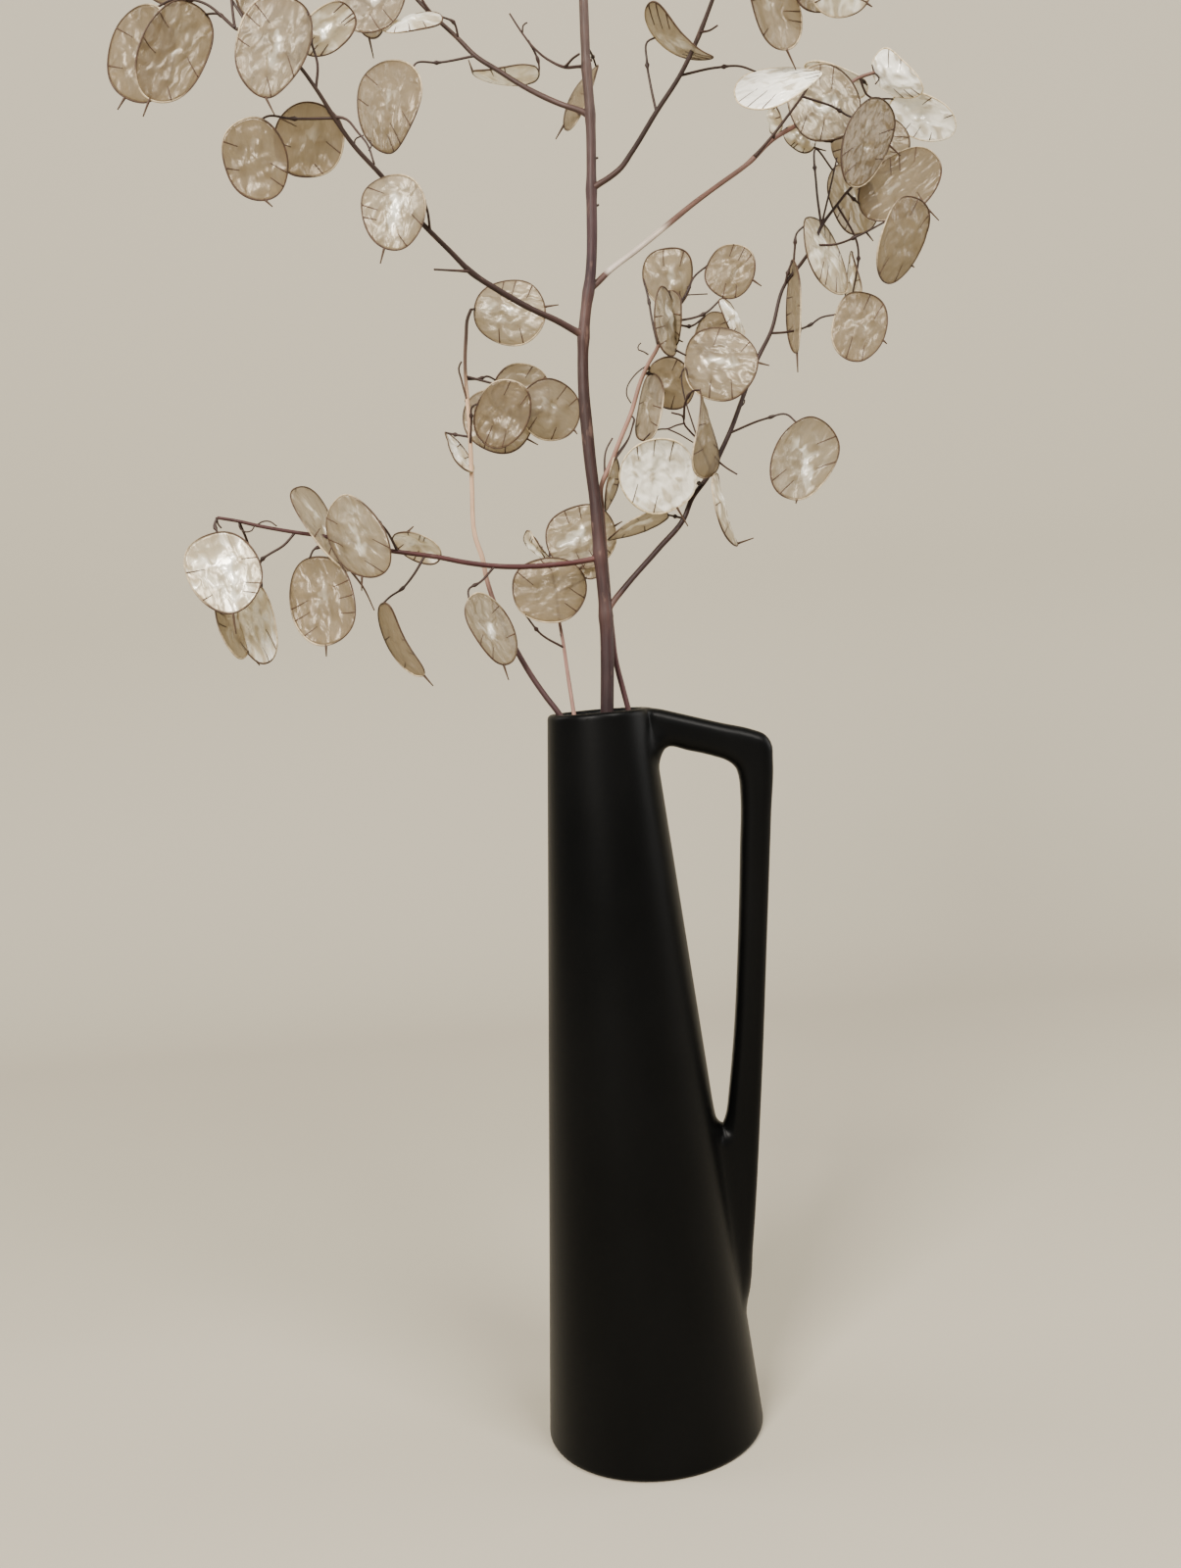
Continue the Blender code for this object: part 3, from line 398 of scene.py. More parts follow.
def clay_distance(x, y, z, across_handle):
    """The distance to the jug's clay, given the distance in the handle's own plane."""
    radius = np.hypot(x, y)
    wall = meet(radius - outer_radius(z), -z, FOOT_ROUND)
    handle = meet(across_handle, np.abs(y) - HANDLE_DEPTH / 2, HANDLE_ROUND)
    share = np.clip((FILLET_TOP - z) / FILLET_FADE, 0.0, 1.0)
    fillet = FILLET * between((LIP_FILLET, 1.0), share**2 * (3.0 - 2.0 * share))
    clay = meet(grow_together(wall, handle, fillet), z - JUG_HEIGHT, RIM_ROUND)
    hollow = meet(radius - inner_radius(z), FLOOR_THICKNESS - z, HOLLOW_ROUND)
    return meet(clay, -hollow, RIM_ROUND)


def jug_distance(points):
    """How far points lie outside the jug's clay."""
    x, y, z = points.T
    return clay_distance(x, y, z, outline_distance(x, z, HANDLE_OUTLINE))


# %% [markdown]
# ## A net laid over the clay
#
# Booleans and a remesh could make the jug too, but they leave steps and pinched corners. Here
# the surface is where the distance is zero. A fine grid of cells fills the jug's box, and each
# cell that the surface crosses gets one point, in the middle of the crossings on its edges. The
# four cells round each crossed edge give a quad. Then every point slides down the distance's
# slope until it lies on the surface, so the net is smooth although the grid is coarse.

# %% A net laid over the jug's surface
CELL = 0.00160
FINE_CELL = 0.00110
BODY_STRETCH = 1.25
MARGIN = 0.004
HANDLE_REACH = 0.0772
FOOT_BAND = 0.010
LIP_BAND = 0.330
PROBE = 1e-5
LEAST_SLOPE = 1e-9


def jug_axes():
    """The grid's stops along x, y and z, finer in z where the foot and the lip are round."""
    x = np.arange(-BASE_RADIUS - MARGIN, HANDLE_REACH + MARGIN + CELL, CELL)
    y = np.arange(-BASE_RADIUS - MARGIN, BASE_RADIUS + MARGIN + CELL, CELL)
    foot = np.arange(-MARGIN / 2, FOOT_BAND, FINE_CELL)
    body = np.arange(foot[-1] + CELL, LIP_BAND, BODY_STRETCH * CELL)
    lip = np.arange(body[-1] + FINE_CELL, JUG_HEIGHT + MARGIN, FINE_CELL)
    return x, y, np.concatenate((foot, body, lip))


def slide_to_surface(points, times=3):
    """Moves points down or up the distance's slope until they lie on the surface."""
    for _ in range(times):
        here = jug_distance(points)
        ahead = [jug_distance(points + PROBE * axis) for axis in np.eye(3)]
        slope = (np.stack(ahead, axis=1) - here[:, None]) / PROBE
        points = points - slope * (here / np.maximum((slope**2).sum(axis=1), LEAST_SLOPE))[:, None]
    return points


def lay_net(axes, values):
    """One point in each grid cell that the surface crosses, in the middle of its crossings,
    and a quad round each grid edge that it crosses, facing out of the clay."""
    cells = tuple(size - 1 for size in values.shape)
    total = np.zeros((*cells, 3))
    count = np.zeros(cells)
    stops = np.meshgrid(*axes, indexing="ij")
    crossings = []
    for axis in range(3):
        low = [slice(None)] * 3
        high = [slice(None)] * 3
        low[axis], high[axis] = slice(None, -1), slice(1, None)
        start, end = values[tuple(low)], values[tuple(high)]
        crossed = (start < 0) != (end < 0)
        share = np.where(crossed, start / np.where(crossed, start - end, 1.0), 0.0)
        place = [stop[tuple(low)] for stop in stops]
        place[axis] = place[axis] + share * (stops[axis][tuple(high)] - place[axis])
        place = np.stack(place, axis=-1) * crossed[..., None]
        others = [other for other in range(3) if other != axis]
        for first in (0, 1):
            for second in (0, 1):
                pick = [slice(None)] * 3
                pick[others[0]] = slice(first, cells[others[0]] + first)
                pick[others[1]] = slice(second, cells[others[1]] + second)
                total += place[tuple(pick)]
                count += crossed[tuple(pick)]
        crossings.append((axis, crossed, start < 0))
    used = count > 0
    index = np.cumsum(used).reshape(cells) - 1
    points = total[used] / count[used][:, None]
    quads = []
    for axis, crossed, solid in crossings:
        first, second = (axis + 1) % 3, (axis + 2) % 3
        at = np.argwhere(crossed)
        back = np.eye(3, dtype=int)
        ring = [at - back[first] - back[second], at - back[second], at, at - back[first]]
        quad = np.stack([index[tuple(corner.T)] for corner in ring], axis=1)
        turned = ~solid[tuple(at.T)]
        quad[turned] = quad[turned][:, ::-1]
        quads.append(quad)
    return points, np.vstack(quads)


def make_jug(material):
    """The jug and its handle as one closed net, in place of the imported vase."""
    axes = jug_axes()
    x, y, z = np.meshgrid(*axes, indexing="ij", sparse=True)
    flat = outline_distance(*np.meshgrid(axes[0], axes[2], indexing="ij"), HANDLE_OUTLINE)
    points, quads = lay_net(axes, clay_distance(x, y, z, flat[:, None, :]))
    points = slide_to_surface(points)
    jug = mesh_object("jug", points, quads, np.zeros((0, 3), int))
    jug.data.materials.append(material)
    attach(jug, "root")
    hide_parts("vase")
    low, high = points[:, 2].min() / MM, points[:, 2].max() / MM
    print(f"jug: {2 * len(quads)} triangles, {low:.2f} to {high:.2f} mm")


# %% [markdown]
# ## Where the plants grow
#
# Each stem, branch and pod is set down as pixels of the photograph with a depth, in the packed
# model's numbers, so that the dressed plants lie on their solids. A few were fitted to the
# picture once more and differ a little: the radii of stems and branches, by less than half a
# millimetre, the fork at the far right and the pod far_n that hangs from it, the pods high_i,
# high_k and low_h, and the upper edge of the handle above.

# %% The cut stems
# A stem's way inside the jug in millimetres, then the photograph's pixels with its depth at
# the rim and at its top, and its radius at the rim and at its top
Stem = namedtuple("Stem", "inside route near_rim at_top thick")

STEMS = {
    "main_spray": Stem(
        [(-23.5, 3.0, 6.5), (-15.0, 2.0, 120.0), (-7.0, 1.0, 215.0), (0.2, 0.2, 300.0)],
        [(619.2, 727), (619.0, 650), (617.4, 620), (612.5, 570), (608.2, 520), (602.0, 470),
         (599.0, 440), (595.5, 400), (595.5, 341), (598.5, 310), (601.4, 290), (603.4, 188),
         (602.5, 122), (598.0, 61), (595.6, 0), (590.0, -110), (586.0, -230), (592.0, -330)],
        0.0, 14.0, (3.05, 1.55)),
    "left_spray": Stem(
        [(6.0, 17.0, 6.3), (6.0, 15.0, 120.0), (3.5, 12.0, 220.0), (-4.5, 8.0, 288.0),
         (-12.5, 5.0, 322.0)],
        [(572.0, 731), (557.0, 711), (544.0, 692.5), (528.5, 666.5), (504.0, 614.5),
         (496.3, 590), (492.0, 569), (485.4, 550), (481.6, 500), (481.0, 480), (478.6, 430),
         (475.0, 384), (474.5, 372), (475.6, 342), (477.0, 325), (480.5, 316)],
        3.0, 16.0, (1.35, 0.75)),
    "short_spray": Stem(
        [(-4.0, 26.0, 6.3), (-6.0, 18.0, 170.0), (-9.0, 10.0, 290.0)],
        [(585.6, 729), (578.7, 684), (574.3, 654), (570.9, 635), (567.0, 604), (561.0, 574)],
        8.0, 15.0, (1.0, 0.5)),
    "right_spray": Stem(
        [(20.0, 12.0, 6.4), (18.5, 11.0, 150.0), (16.0, 10.0, 270.0)],
        [(641.0, 724), (635.9, 704.5), (628.0, 673), (624.6, 646), (619.0, 585), (614.5, 520),
         (613.5, 496), (622.0, 476), (633.0, 448), (644.0, 421), (654.0, 388), (660.5, 373),
         (671.5, 353), (676.0, 330)],
        9.0, 10.0, (1.3, 0.85)),
}

# %% The branches
# A branch has the pixels of its way, its depth at the tip, and its radius at either end
Branch = namedtuple("Branch", "parent route reach thick")

BRANCHES = {
    "left_arm": Branch("main_spray", [
        (608, 569), (594, 572.5), (567, 576), (505, 577.5), (470, 573), (450, 569), (422, 565),
        (398, 562), (335, 548), (300, 543), (261, 536), (244, 532), (221.6, 528.3)],
        -45, (1.3, 0.7)),
    "high_left": Branch("main_spray", [
        (594, 342), (586, 337), (570, 328), (542, 315), (510, 297), (480, 277), (460, 257),
        (432, 229), (389, 179), (359, 146), (341, 120), (322, 90), (304, 66), (282, 46),
        (258, 36), (240, 29)],
        -72, (1.45, 0.65)),
    "high_left_bare": Branch("high_left", [(480, 277), (462, 276), (443, 275)], -32, (0.6, 0.4)),
    "high_left_loop": Branch("high_left", [
        (341, 119), (352, 121), (365, 135), (374, 146), (382, 168)], -50, (0.55, 0.4)),
    "top_left": Branch("main_spray", [
        (600, 118), (592, 113), (574, 107), (547, 95), (527, 84), (510, 73), (485, 57),
        (468, 40), (441, 15), (426, 0), (398, -38), (366, -92), (345, -140)],
        62, (1.3, 0.6)),
    "top_fork": Branch("top_left", [(441, 15), (431, 0), (424, -30), (408, -52)], 24, (0.6, 0.4)),
    "bare_twig": Branch("main_spray", [
        (599, 68), (590, 68), (579, 69), (561, 62), (543, 47), (533, 34), (520, 14)],
        30, (0.65, 0.4)),
    "bare_spur": Branch("bare_twig", [(577, 68), (584, 60), (591, 55)], 2, (0.5, 0.5)),
    "high_right": Branch("main_spray", [
        (604, 193), (611, 188), (622, 181), (633, 172), (645, 155), (670, 114), (695, 75),
        (712, 39), (727, 0), (744, -46), (768, -104), (796, -160)],
        -48, (1.3, 0.6)),
    "high_right_spur": Branch("high_right", [(715, 33), (724, 31), (732, 26)], -30, (0.45, 0.4)),
    "pale_right": Branch("main_spray", [
        (602, 296), (609, 289), (620, 278), (650, 255), (683, 228), (710, 206), (733, 189),
        (763, 167), (789, 142), (814, 127), (850, 100), (877, 79), (892, 74)],
        72, (1.45, 0.85)),
    "pale_right_fork": Branch("pale_right", [
        (769, 161), (788, 139), (804, 118), (818, 99), (828, 83)], 34, (0.8, 0.5)),
    "low_right": Branch("main_spray", [
        (616, 628), (624, 617), (638, 599), (672, 560), (698, 529), (706, 509), (721, 488),
        (733, 466), (746, 438), (757, 408), (773, 366), (786, 340), (801, 290), (818, 268),
        (830, 250), (838, 231), (854, 209), (866, 194), (871, 189)],
        40, (1.4, 0.65)),
    "low_right_fork": Branch("low_right", [(838, 231), (846, 197), (854, 161)], 46, (0.5, 0.4)),
    "low_right_twig": Branch("low_right", [
        (726, 479), (718, 462), (713, 450), (704, 440), (698, 432), (697.5, 426), (685, 421)],
        2, (0.55, 0.4)),
    "low_right_thorn": Branch("low_right", [(732, 470), (742, 478), (752, 484)], 8, (0.45, 0.4)),
    "right_twig": Branch("right_spray", [
        (622, 476), (631, 462), (642, 446), (647, 428)], 17, (0.45, 0.4)),
    "right_spur": Branch("right_spray", [(617, 488), (619, 458), (625, 447)], 12, (0.45, 0.4)),
    "left_spur": Branch("left_spray", [(477, 410), (471, 388), (468.4, 374), (471, 369)],
                        8, (0.45, 0.4)),
}

# %% [markdown]
# ## Where the pods hang
#
# A pod's two ends are the ends of its long axis, and its width is the width that shows: where
# that is less than a pod's true width, the pod is turned away from the camera. Its stalk leaves
# the branch at its first pixel and joins the pod at its base.

# %% The pods
# Head and foot are the ends of the long axis, wide is the width that shows, base is where the
# stalk joins, off is the depth in millimetres from the branch. Taper narrows a pod towards its
# foot, skew does so on one side only, bow moves its middle sideways
Pod = namedtuple("Pod", "branch head foot wide base pedicel style off taper skew bow",
                 defaults=(None, (), (), 0.0, 0.0, 0.0, 0.0))

PODS = {
    "high_a": Pod("high_left", (151, 5), (138, 104), 66, (159, 11),
                  [(240, 29), (205, 2), (175, 0)], [(129, 98), (120, 112)], off=14),
    "high_b": Pod("high_left", (195, 2), (160, 104), 70, (208, 13),
                  [(240, 29), (221, 14)], [(154, 101), (146, 119)], off=2, taper=0.07,
                  skew=-0.07),
    "high_c": Pod("high_left", (288, -4), (269, 99), 73, (309, 9),
                  [(323, 90), (324, 66), (317, 40)], [(271, 97), (280, 117)], off=-14,
                  taper=0.175, skew=-0.125),
    "high_d": Pod("high_left", (358, 8), (310, 52), 44, (322, 20),
                  [(304, 66), (308, 40)], off=10),
    "high_e": Pod("top_fork", (392, -38), (363, 30), 70, (404, -30),
                  [(408, -52)], [(351, 23), (338, 37)]),
    "high_f": Pod("top_left", (451, 17), (389, 28), 16, (450, 16),
                  [(470, 38), (463, 23)], off=-6, bow=-2.5),
    "high_g": Pod("top_left", (400, 61), (392, 155), 62, (417, 68),
                  [(484, 58), (447, 64), (424, 65)], off=-8, taper=0.29, skew=-0.07),
    "high_h": Pod("bare_twig", (550, 75), (482, 74), 19, (549, 75),
                  [(539, 41), (545, 52), (550, 67)], [(485, 73), (478, 61)], off=6, bow=-4),
    "high_i": Pod("main_spray", (609, 66), (577, 132), 15, (606, 68),
                  [(598, 45), (604, 56)], [(574, 130), (567, 142)], off=19, taper=-0.2),
    "high_j": Pod("high_right", (661, 4), (726, 60), 24, (665, 30),
                  [(669, 114), (664, 88), (660, 62), (661, 42)], off=-16, bow=11),
    "high_k": Pod("high_right", (838, 75), (750, 98), 35, (767, 73),
                  [(695, 78), (731, 69), (757, 68)], off=-2, taper=-0.5),
    "high_t1": Pod("high_left", (180, -75), (172, 5), 68, (184, -73),
                   [(240, 29), (222, -50)], off=24),
    "high_t2": Pod("high_left", (276, -62), (262, 21), 58, (280, -60),
                   [(258, 36), (225, -40)], off=12),
    "high_tr1": Pod("high_right", (862, -62), (854, 18), 66, (856, -60),
                    [(768, -104), (812, -92)], [(880, -2), (890, 7)], off=14),
    "high_tr2": Pod("high_right", (836, -64), (833, 13), 48, (832, -62),
                    [(768, -104), (800, -90)], off=25),
    "left_e": Pod("high_left", (404, 179), (398, 255), 64, (416, 184),
                  [(441, 234), (435, 211), (424, 190)], [(392, 252), (388, 269)], off=-20,
                  taper=0.15, skew=0.05),
    "left_f": Pod("high_left", (248, 121), (273, 203), 64, (266, 122),
                  [(341, 121), (296, 121), (272, 119)], [(270, 202), (278, 211)], off=-6),
    "left_g": Pod("high_left", (318, 105), (312, 181), 71, (332, 111),
                  [(341, 120)], off=8),
    "far_l": Pod("pale_right", (824, 70), (858, 141), 72, (872, 112),
                 [(821, 134), (848, 144), (868, 124)], off=-9),
    "far_l2": Pod("pale_right", (885, 94), (822, 66), 25, (881, 88),
                  [(877, 79)], off=8),
    "far_m1": Pod("pale_right", (895.5, 53.5), (939.5, 95.5), 35, (897, 72),
                  [(892, 74)], off=-6, bow=5.5),
    "far_m2": Pod("pale_right", (907.5, 106), (974, 132.5), 45, (907, 99),
                  [(877, 79), (885, 97)], [(965, 134), (971, 138)], off=6),
    "far_n": Pod("pale_right_fork", (899, 101), (870, 191), 46, (888, 104),
                 [(821, 100), (848, 108), (874, 119)], [(907, 149), (919, 159)], off=-6),
    "far_o": Pod("low_right", (880, 217), (955, 160), 60, (878, 208),
                 [(864, 196), (872, 204)], [(945, 211), (958, 225)], off=8),
    "far_p": Pod("low_right", (935, 201), (905, 288), 44, (903, 225),
                 [(831, 251), (854, 249), (875, 241)], [(931, 268), (933, 273)], off=-6),
    "far_q": Pod("low_right_fork", (857, 168), (882, 238), 46, (849, 172),
                 [(838, 231), (833, 190), (833, 152)], [(884, 236), (891, 246)], off=18),
    "far_q2": Pod("pale_right", (848, 144), (928, 149), 64, (884, 118),
                  [(850, 100), (866, 104)], off=14),
    "far_s": Pod("pale_right", (802, 131), (830, 151), 24, (804, 131),
                 [(789, 142)], [(828, 149), (843, 154)], off=12),
    "far_edge": Pod("pale_right", (792, 136), (787, 102), 12, (792, 135),
                    [(789, 142)], off=-6),
    "low_a": Pod("low_right", (809, 266), (811, 361), 14, (809, 268),
                 [(801, 292), (806, 272)], [(812, 360), (814, 380)], off=-6),
    "low_b": Pod("low_right", (823, 222), (861, 299), 31, (820, 234),
                 [(809, 279), (811, 253), (813, 238)], off=8, taper=0.175, skew=-0.175),
    "low_c": Pod("low_right", (869, 257), (870, 308), 13, (870, 300),
                 [(854, 209), (875, 250)], off=15, taper=-0.3),
    "low_d": Pod("low_right", (880, 298), (874, 369), 55, (849, 321),
                 [(786, 340), (802, 339), (826, 332), (838, 324)], [(900, 345), (905, 351)],
                 off=7, taper=0.1, skew=-0.1),
    "low_e": Pod("low_right", (835, 428), (806, 510), 62, (811, 429),
                 [(744, 442), (782, 427), (803, 423)], [(814, 507), (812, 514)], off=-9,
                 taper=0.125, skew=-0.125),
    "low_f": Pod("low_right_twig", (715, 397), (722, 487), 19, (715, 398),
                 [(698, 428), (700, 409), (707, 399)], off=-8, taper=-0.75),
    "low_g": Pod("low_right", (729, 483), (750, 557), 8, (729, 484),
                 [(726, 480)], [(749, 550), (769, 549)], off=-5, taper=-0.2, bow=4),
    "low_h": Pod("low_right", (655, 452), (688.5, 519.5), 77, (708, 492),
                 [(718, 493)], [(692, 521), (702, 537)], off=-16),
    "low_i": Pod("low_right", (682, 524), (621, 550), 14, (680, 525),
                 [(698, 529)], off=5),
    "mid_1": Pod("right_spray", (675, 254), (689, 314), 50, (658, 285),
                 [(671, 353), (665, 325), (662, 307)], off=6,
                 taper=0.175, skew=-0.125),
    "mid_2": Pod("right_spray", (757, 251), (733, 302), 48, (722, 270),
                 [(674, 343), (693, 312), (702, 296), (708, 283)],
                 [(766, 285), (777, 292)], off=8),
    "mid_3": Pod("right_spray", (675, 293), (685, 364), 21, (676, 294),
                 [(671, 353), (672, 320)], [(692, 346), (697, 349)], off=-7, taper=-0.3),
    "mid_3b": Pod("right_spray", (683, 296), (690, 352), 17, (684, 298),
                  [(674, 343), (679, 318)], off=2),
    "mid_4": Pod("right_spray", (698.5, 365.5), (772, 378), 74, (699, 363),
                 [(671.5, 353), (686, 356)], [(772, 371), (785, 373)], off=-6),
    "mid_5": Pod("right_spray", (739, 320), (716, 362), 34, (722, 329),
                 [(676, 331), (694, 332), (704, 333)], off=9),
    "mid_6": Pod("right_spray", (736, 305), (756, 345), 14, (737, 308),
                 [(702, 333), (722, 318)], off=3),
    "mid_7": Pod("right_spray", (672, 367), (697, 415), 46, (664, 378),
                 [(660.5, 373)], off=14),
    "mid_8": Pod("right_spray", (668, 382), (657, 450), 25, (667, 384),
                 [(657, 382), (662, 381)], off=2),
    "mid_9": Pod("right_spray", (629, 467), (619, 521), 10, (628, 469),
                 [(624, 470)], off=3),
    "stem_1": Pod("short_spray", (558, 556), (628, 540), 64, (560, 562),
                  [(561, 574)], [(625, 538), (635, 532)], off=4),
    "stem_2": Pod("short_spray", (612, 560), (598, 590), 24, (600, 588),
                  [(567, 604), (584, 598)], off=10),
    "stem_3": Pod("short_spray", (523, 603), (598, 601), 66, (536, 627),
                  [(574, 661), (552, 647)], [(590, 581), (597, 576)], off=-6),
    "stem_4": Pod("short_spray", (556, 573), (536, 543), 8, (556, 572),
                  [(561, 574)], off=3),
    "stem_4b": Pod("short_spray", (561, 573), (541, 548), 7, (560, 572),
                   [(561, 574)], off=7),
    "arm_1": Pod("left_arm", (217, 545), (241, 625), 74, (222, 545),
                 [(221.6, 528), (219, 536)], [(237, 624), (241, 647)], off=-5, taper=0.12,
                 skew=0.12),
    "arm_2": Pod("left_arm", (238, 590), (275, 676), 46, (266, 600),
                 [(301, 545), (290, 556), (274, 566), (268, 570)], [(260, 669), (265, 679)],
                 off=7, taper=0.2, skew=-0.1),
    "arm_2b": Pod("left_arm", (228, 590), (248, 672), 30, (236, 590),
                  [(244, 532), (254, 562)], off=17),
    "arm_3": Pod("left_arm", (322, 568), (335, 658), 66, (316, 569),
                 [(345, 549), (334, 556), (320, 561)], [(333, 657), (333, 670)], off=-5),
    "arm_4": Pod("left_arm", (346, 507), (383, 588), 55, (367, 514),
                 [(406, 561), (394, 541), (380, 526)], [(369, 587), (369, 603)], off=-20,
                 taper=-0.025, skew=0.125),
    "arm_5": Pod("left_arm", (302, 497), (356, 582), 26, (303, 499),
                 [(327, 546), (307, 526), (300, 512)], [(356, 581), (371, 600), (382, 623)],
                 off=9),
    "arm_6": Pod("left_arm", (450, 568), (401, 549), 26, (448, 568),
                 [(452, 569)], [(417, 545), (422, 537)], off=8, taper=-0.2,
                 skew=-0.2),
    "arm_7": Pod("left_arm", (391, 615), (432, 689), 21, (392, 617),
                 [(433, 571), (421, 588), (410, 601), (398, 609)], [(432, 688), (442, 700)],
                 off=-6, bow=9),
    "arm_8": Pod("left_arm", (483, 607), (521, 677), 39, (479, 610),
                 [(505, 577), (490, 594), (478, 602)], [(515, 678), (519, 694)], off=-7),
    "side_1": Pod("left_spray", (484.5, 317), (556.5, 320), 66, (485, 316),
                  [(480.5, 316)], [(556, 314), (570, 311)], off=2),
    "side_2": Pod("left_spray", (503, 398), (561, 400), 55, (504, 388),
                  [(475, 387), (491, 386), (497, 384)], off=12),
    "side_3": Pod("left_spray", (526, 389), (499, 455), 54, (487, 411),
                  [(479, 455), (481, 430), (482, 415)], off=-7),
    "side_4": Pod("left_spray", (537, 397), (584, 439), 60, (537, 402),
                  [(475, 384), (505, 392)], [(582, 436), (589, 443)], off=5),
    "side_5": Pod("left_spray", (477, 411), (538, 447), 63, (475, 413),
                  [(476, 400)], [(537, 447), (549, 454)], off=9),
    "side_6": Pod("left_spray", (455, 441), (483, 481), 12, (456, 443),
                  [(478, 446), (462, 443)], off=2, bow=1.5),
}
print(len(STEMS), "stems,", len(BRANCHES), "branches,", len(PODS), "pods that the photograph shows")

# %% [markdown]
# ## How the routes become stems
#
# Each branch starts where its parent's route passes nearest, at the parent's depth there, and
# runs evenly to its own depth at the tip. Pixels and depths together give points in space.

# %% Routes in space


def lengths_along(route):
    """The share of a route's whole length that lies before each of its points."""
    runs = np.linalg.norm(np.diff(np.asarray(route, float), axis=0), axis=1)
    before = np.concatenate(([0.0], np.cumsum(runs)))
    return before / before[-1]


def nearest_on(route, depths, pixel):
    """The pixel and the depth of a route where it passes nearest to a pixel."""
    route, depths, pixel = (np.asarray(item, float) for item in (route, depths, pixel))
    runs = np.diff(route, axis=0)
    shares = ((pixel - route[:-1]) * runs).sum(axis=1) / (runs**2).sum(axis=1)
    shares = np.clip(shares, 0.0, 1.0)
    spots = route[:-1] + runs * shares[:, None]
    best = int(np.argmin(np.linalg.norm(spots - pixel, axis=1)))
    return spots[best], depths[best] + (depths[best + 1] - depths[best]) * shares[best]


def settle_routes():
    """Gives every stem and branch its route in pixels, the depths along it and its spray."""
    routes = {}
    for name, stem in STEMS.items():
        depths = stem.near_rim + (stem.at_top - stem.near_rim) * lengths_along(stem.route)
        routes[name] = (np.array(stem.route, float), depths, name)
    for name, branch in BRANCHES.items():
        parent_route, parent_depths, spray = routes[branch.parent]
        fork, start = nearest_on(parent_route, parent_depths, branch.route[0])
        route = np.vstack((fork, branch.route[1:]))
        routes[name] = (route, start + (branch.reach - start) * lengths_along(route), spray)
    return routes


ROUTES = settle_routes()
nearest = min(depths.min() for _, depths, _ in ROUTES.values())
farthest = max(depths.max() for _, depths, _ in ROUTES.values())
print(f"the branches run from {-nearest:.0f} mm before the jug's axis to {farthest:.0f} mm behind it")

# %% [markdown]
# ## The colours of the stems
#
# Dried honesty stems keep the plum colour that the living plant had, but only in places. Where
# the skin has rubbed off they are straw or peach, and the thin ends are nearly black. So each
# stem has its colours as stops along its length, and every point takes the colour between its
# two nearest stops.

# %% Colour stops along the stems


def paint(red, green, blue):
    """A colour from 0 to 255, as seen on a screen, as the light value that Blender wants."""
    return (np.array((red, green, blue)) / 255.0) ** 2.2


TWIG_SHADE = (78, 58, 52)
TWIG_STOPS = [(0.0, *TWIG_SHADE), (1.0, *TWIG_SHADE)]
# Each stop is a share of the stem's length with the red, green and blue that show there
COLOUR_STOPS = {
    "main_spray": [(0.0, 56, 39, 40), (0.07, 66, 46, 47), (0.10, 92, 67, 63),
                   (0.125, 72, 51, 50), (0.158, 90, 65, 62), (0.20, 70, 50, 49),
                   (0.30, 70, 50, 46), (0.36, 76, 54, 50), (0.40, 102, 76, 70),
                   (0.43, 68, 47, 50), (0.50, 84, 60, 60), (0.60, 92, 72, 66),
                   (0.75, 98, 78, 70), (1.0, 92, 70, 60)],
    "left_arm": [(0.0, 124, 84, 78), (0.08, 92, 54, 54), (1.0, 84, 56, 54)],
    "high_left": [(0.0, 128, 96, 86), (0.03, 82, 60, 56), (0.2, 66, 49, 45),
                  (1.0, 72, 57, 50)],
    "top_left": [(0.0, 96, 74, 68), (0.3, 78, 60, 54), (1.0, 86, 68, 58)],
    "high_right": [(0.0, 96, 72, 66), (0.15, 64, 48, 44), (1.0, 76, 60, 52)],
    "pale_right": [(0.0, 98, 72, 64), (0.055, 104, 76, 68), (0.07, 255, 238, 222),
                   (0.25, 255, 234, 214), (0.28, 146, 112, 100), (0.55, 136, 104, 92),
                   (0.66, 166, 122, 110), (1.0, 136, 104, 92)],
    "low_right": [(0.0, 142, 110, 98), (0.035, 104, 78, 70), (0.06, 64, 46, 44),
                  (1.0, 68, 51, 45)],
    "left_spray": [(0.0, 82, 58, 58), (0.27, 92, 66, 64), (0.36, 150, 114, 100),
                   (0.42, 232, 190, 156), (0.80, 238, 196, 156), (0.86, 120, 94, 78),
                   (1.0, 70, 54, 47)],
    "left_spur": [(0.0, 112, 88, 74), (1.0, 78, 60, 50)],
    "short_spray": [(0.0, 196, 152, 136), (0.4, 160, 120, 108), (1.0, 104, 80, 72)],
    "right_spray": [(0.0, 88, 60, 60), (0.25, 96, 66, 66), (0.5, 134, 98, 90),
                    (0.60, 186, 142, 124), (0.9, 176, 134, 116), (1.0, 82, 62, 56)],
    "right_twig": [(0.0, 140, 108, 94), (0.4, 78, 59, 52), (1.0, 70, 54, 47)],
}


def stem_tint(name, shares):
    """The colour at each share of a stem's length, between its stops."""
    places, *colours = zip(*COLOUR_STOPS.get(name, TWIG_STOPS))
    return np.stack([np.interp(shares, places, light) for light in paint(*colours)], axis=1)


print(len(COLOUR_STOPS), "stems have colours of their own")

# %% [markdown]
# ## Stems with ribs, nodes and scars
#
# A real stem isn't a plain tube: it is ribbed, it thickens where a branch leaves, and a branch
# starts wide and narrows within a few millimetres. The radius along a stem is a smooth taper
# times a slow random swelling, times a bump at each fork, and the ribs are a small wave round
# the section.

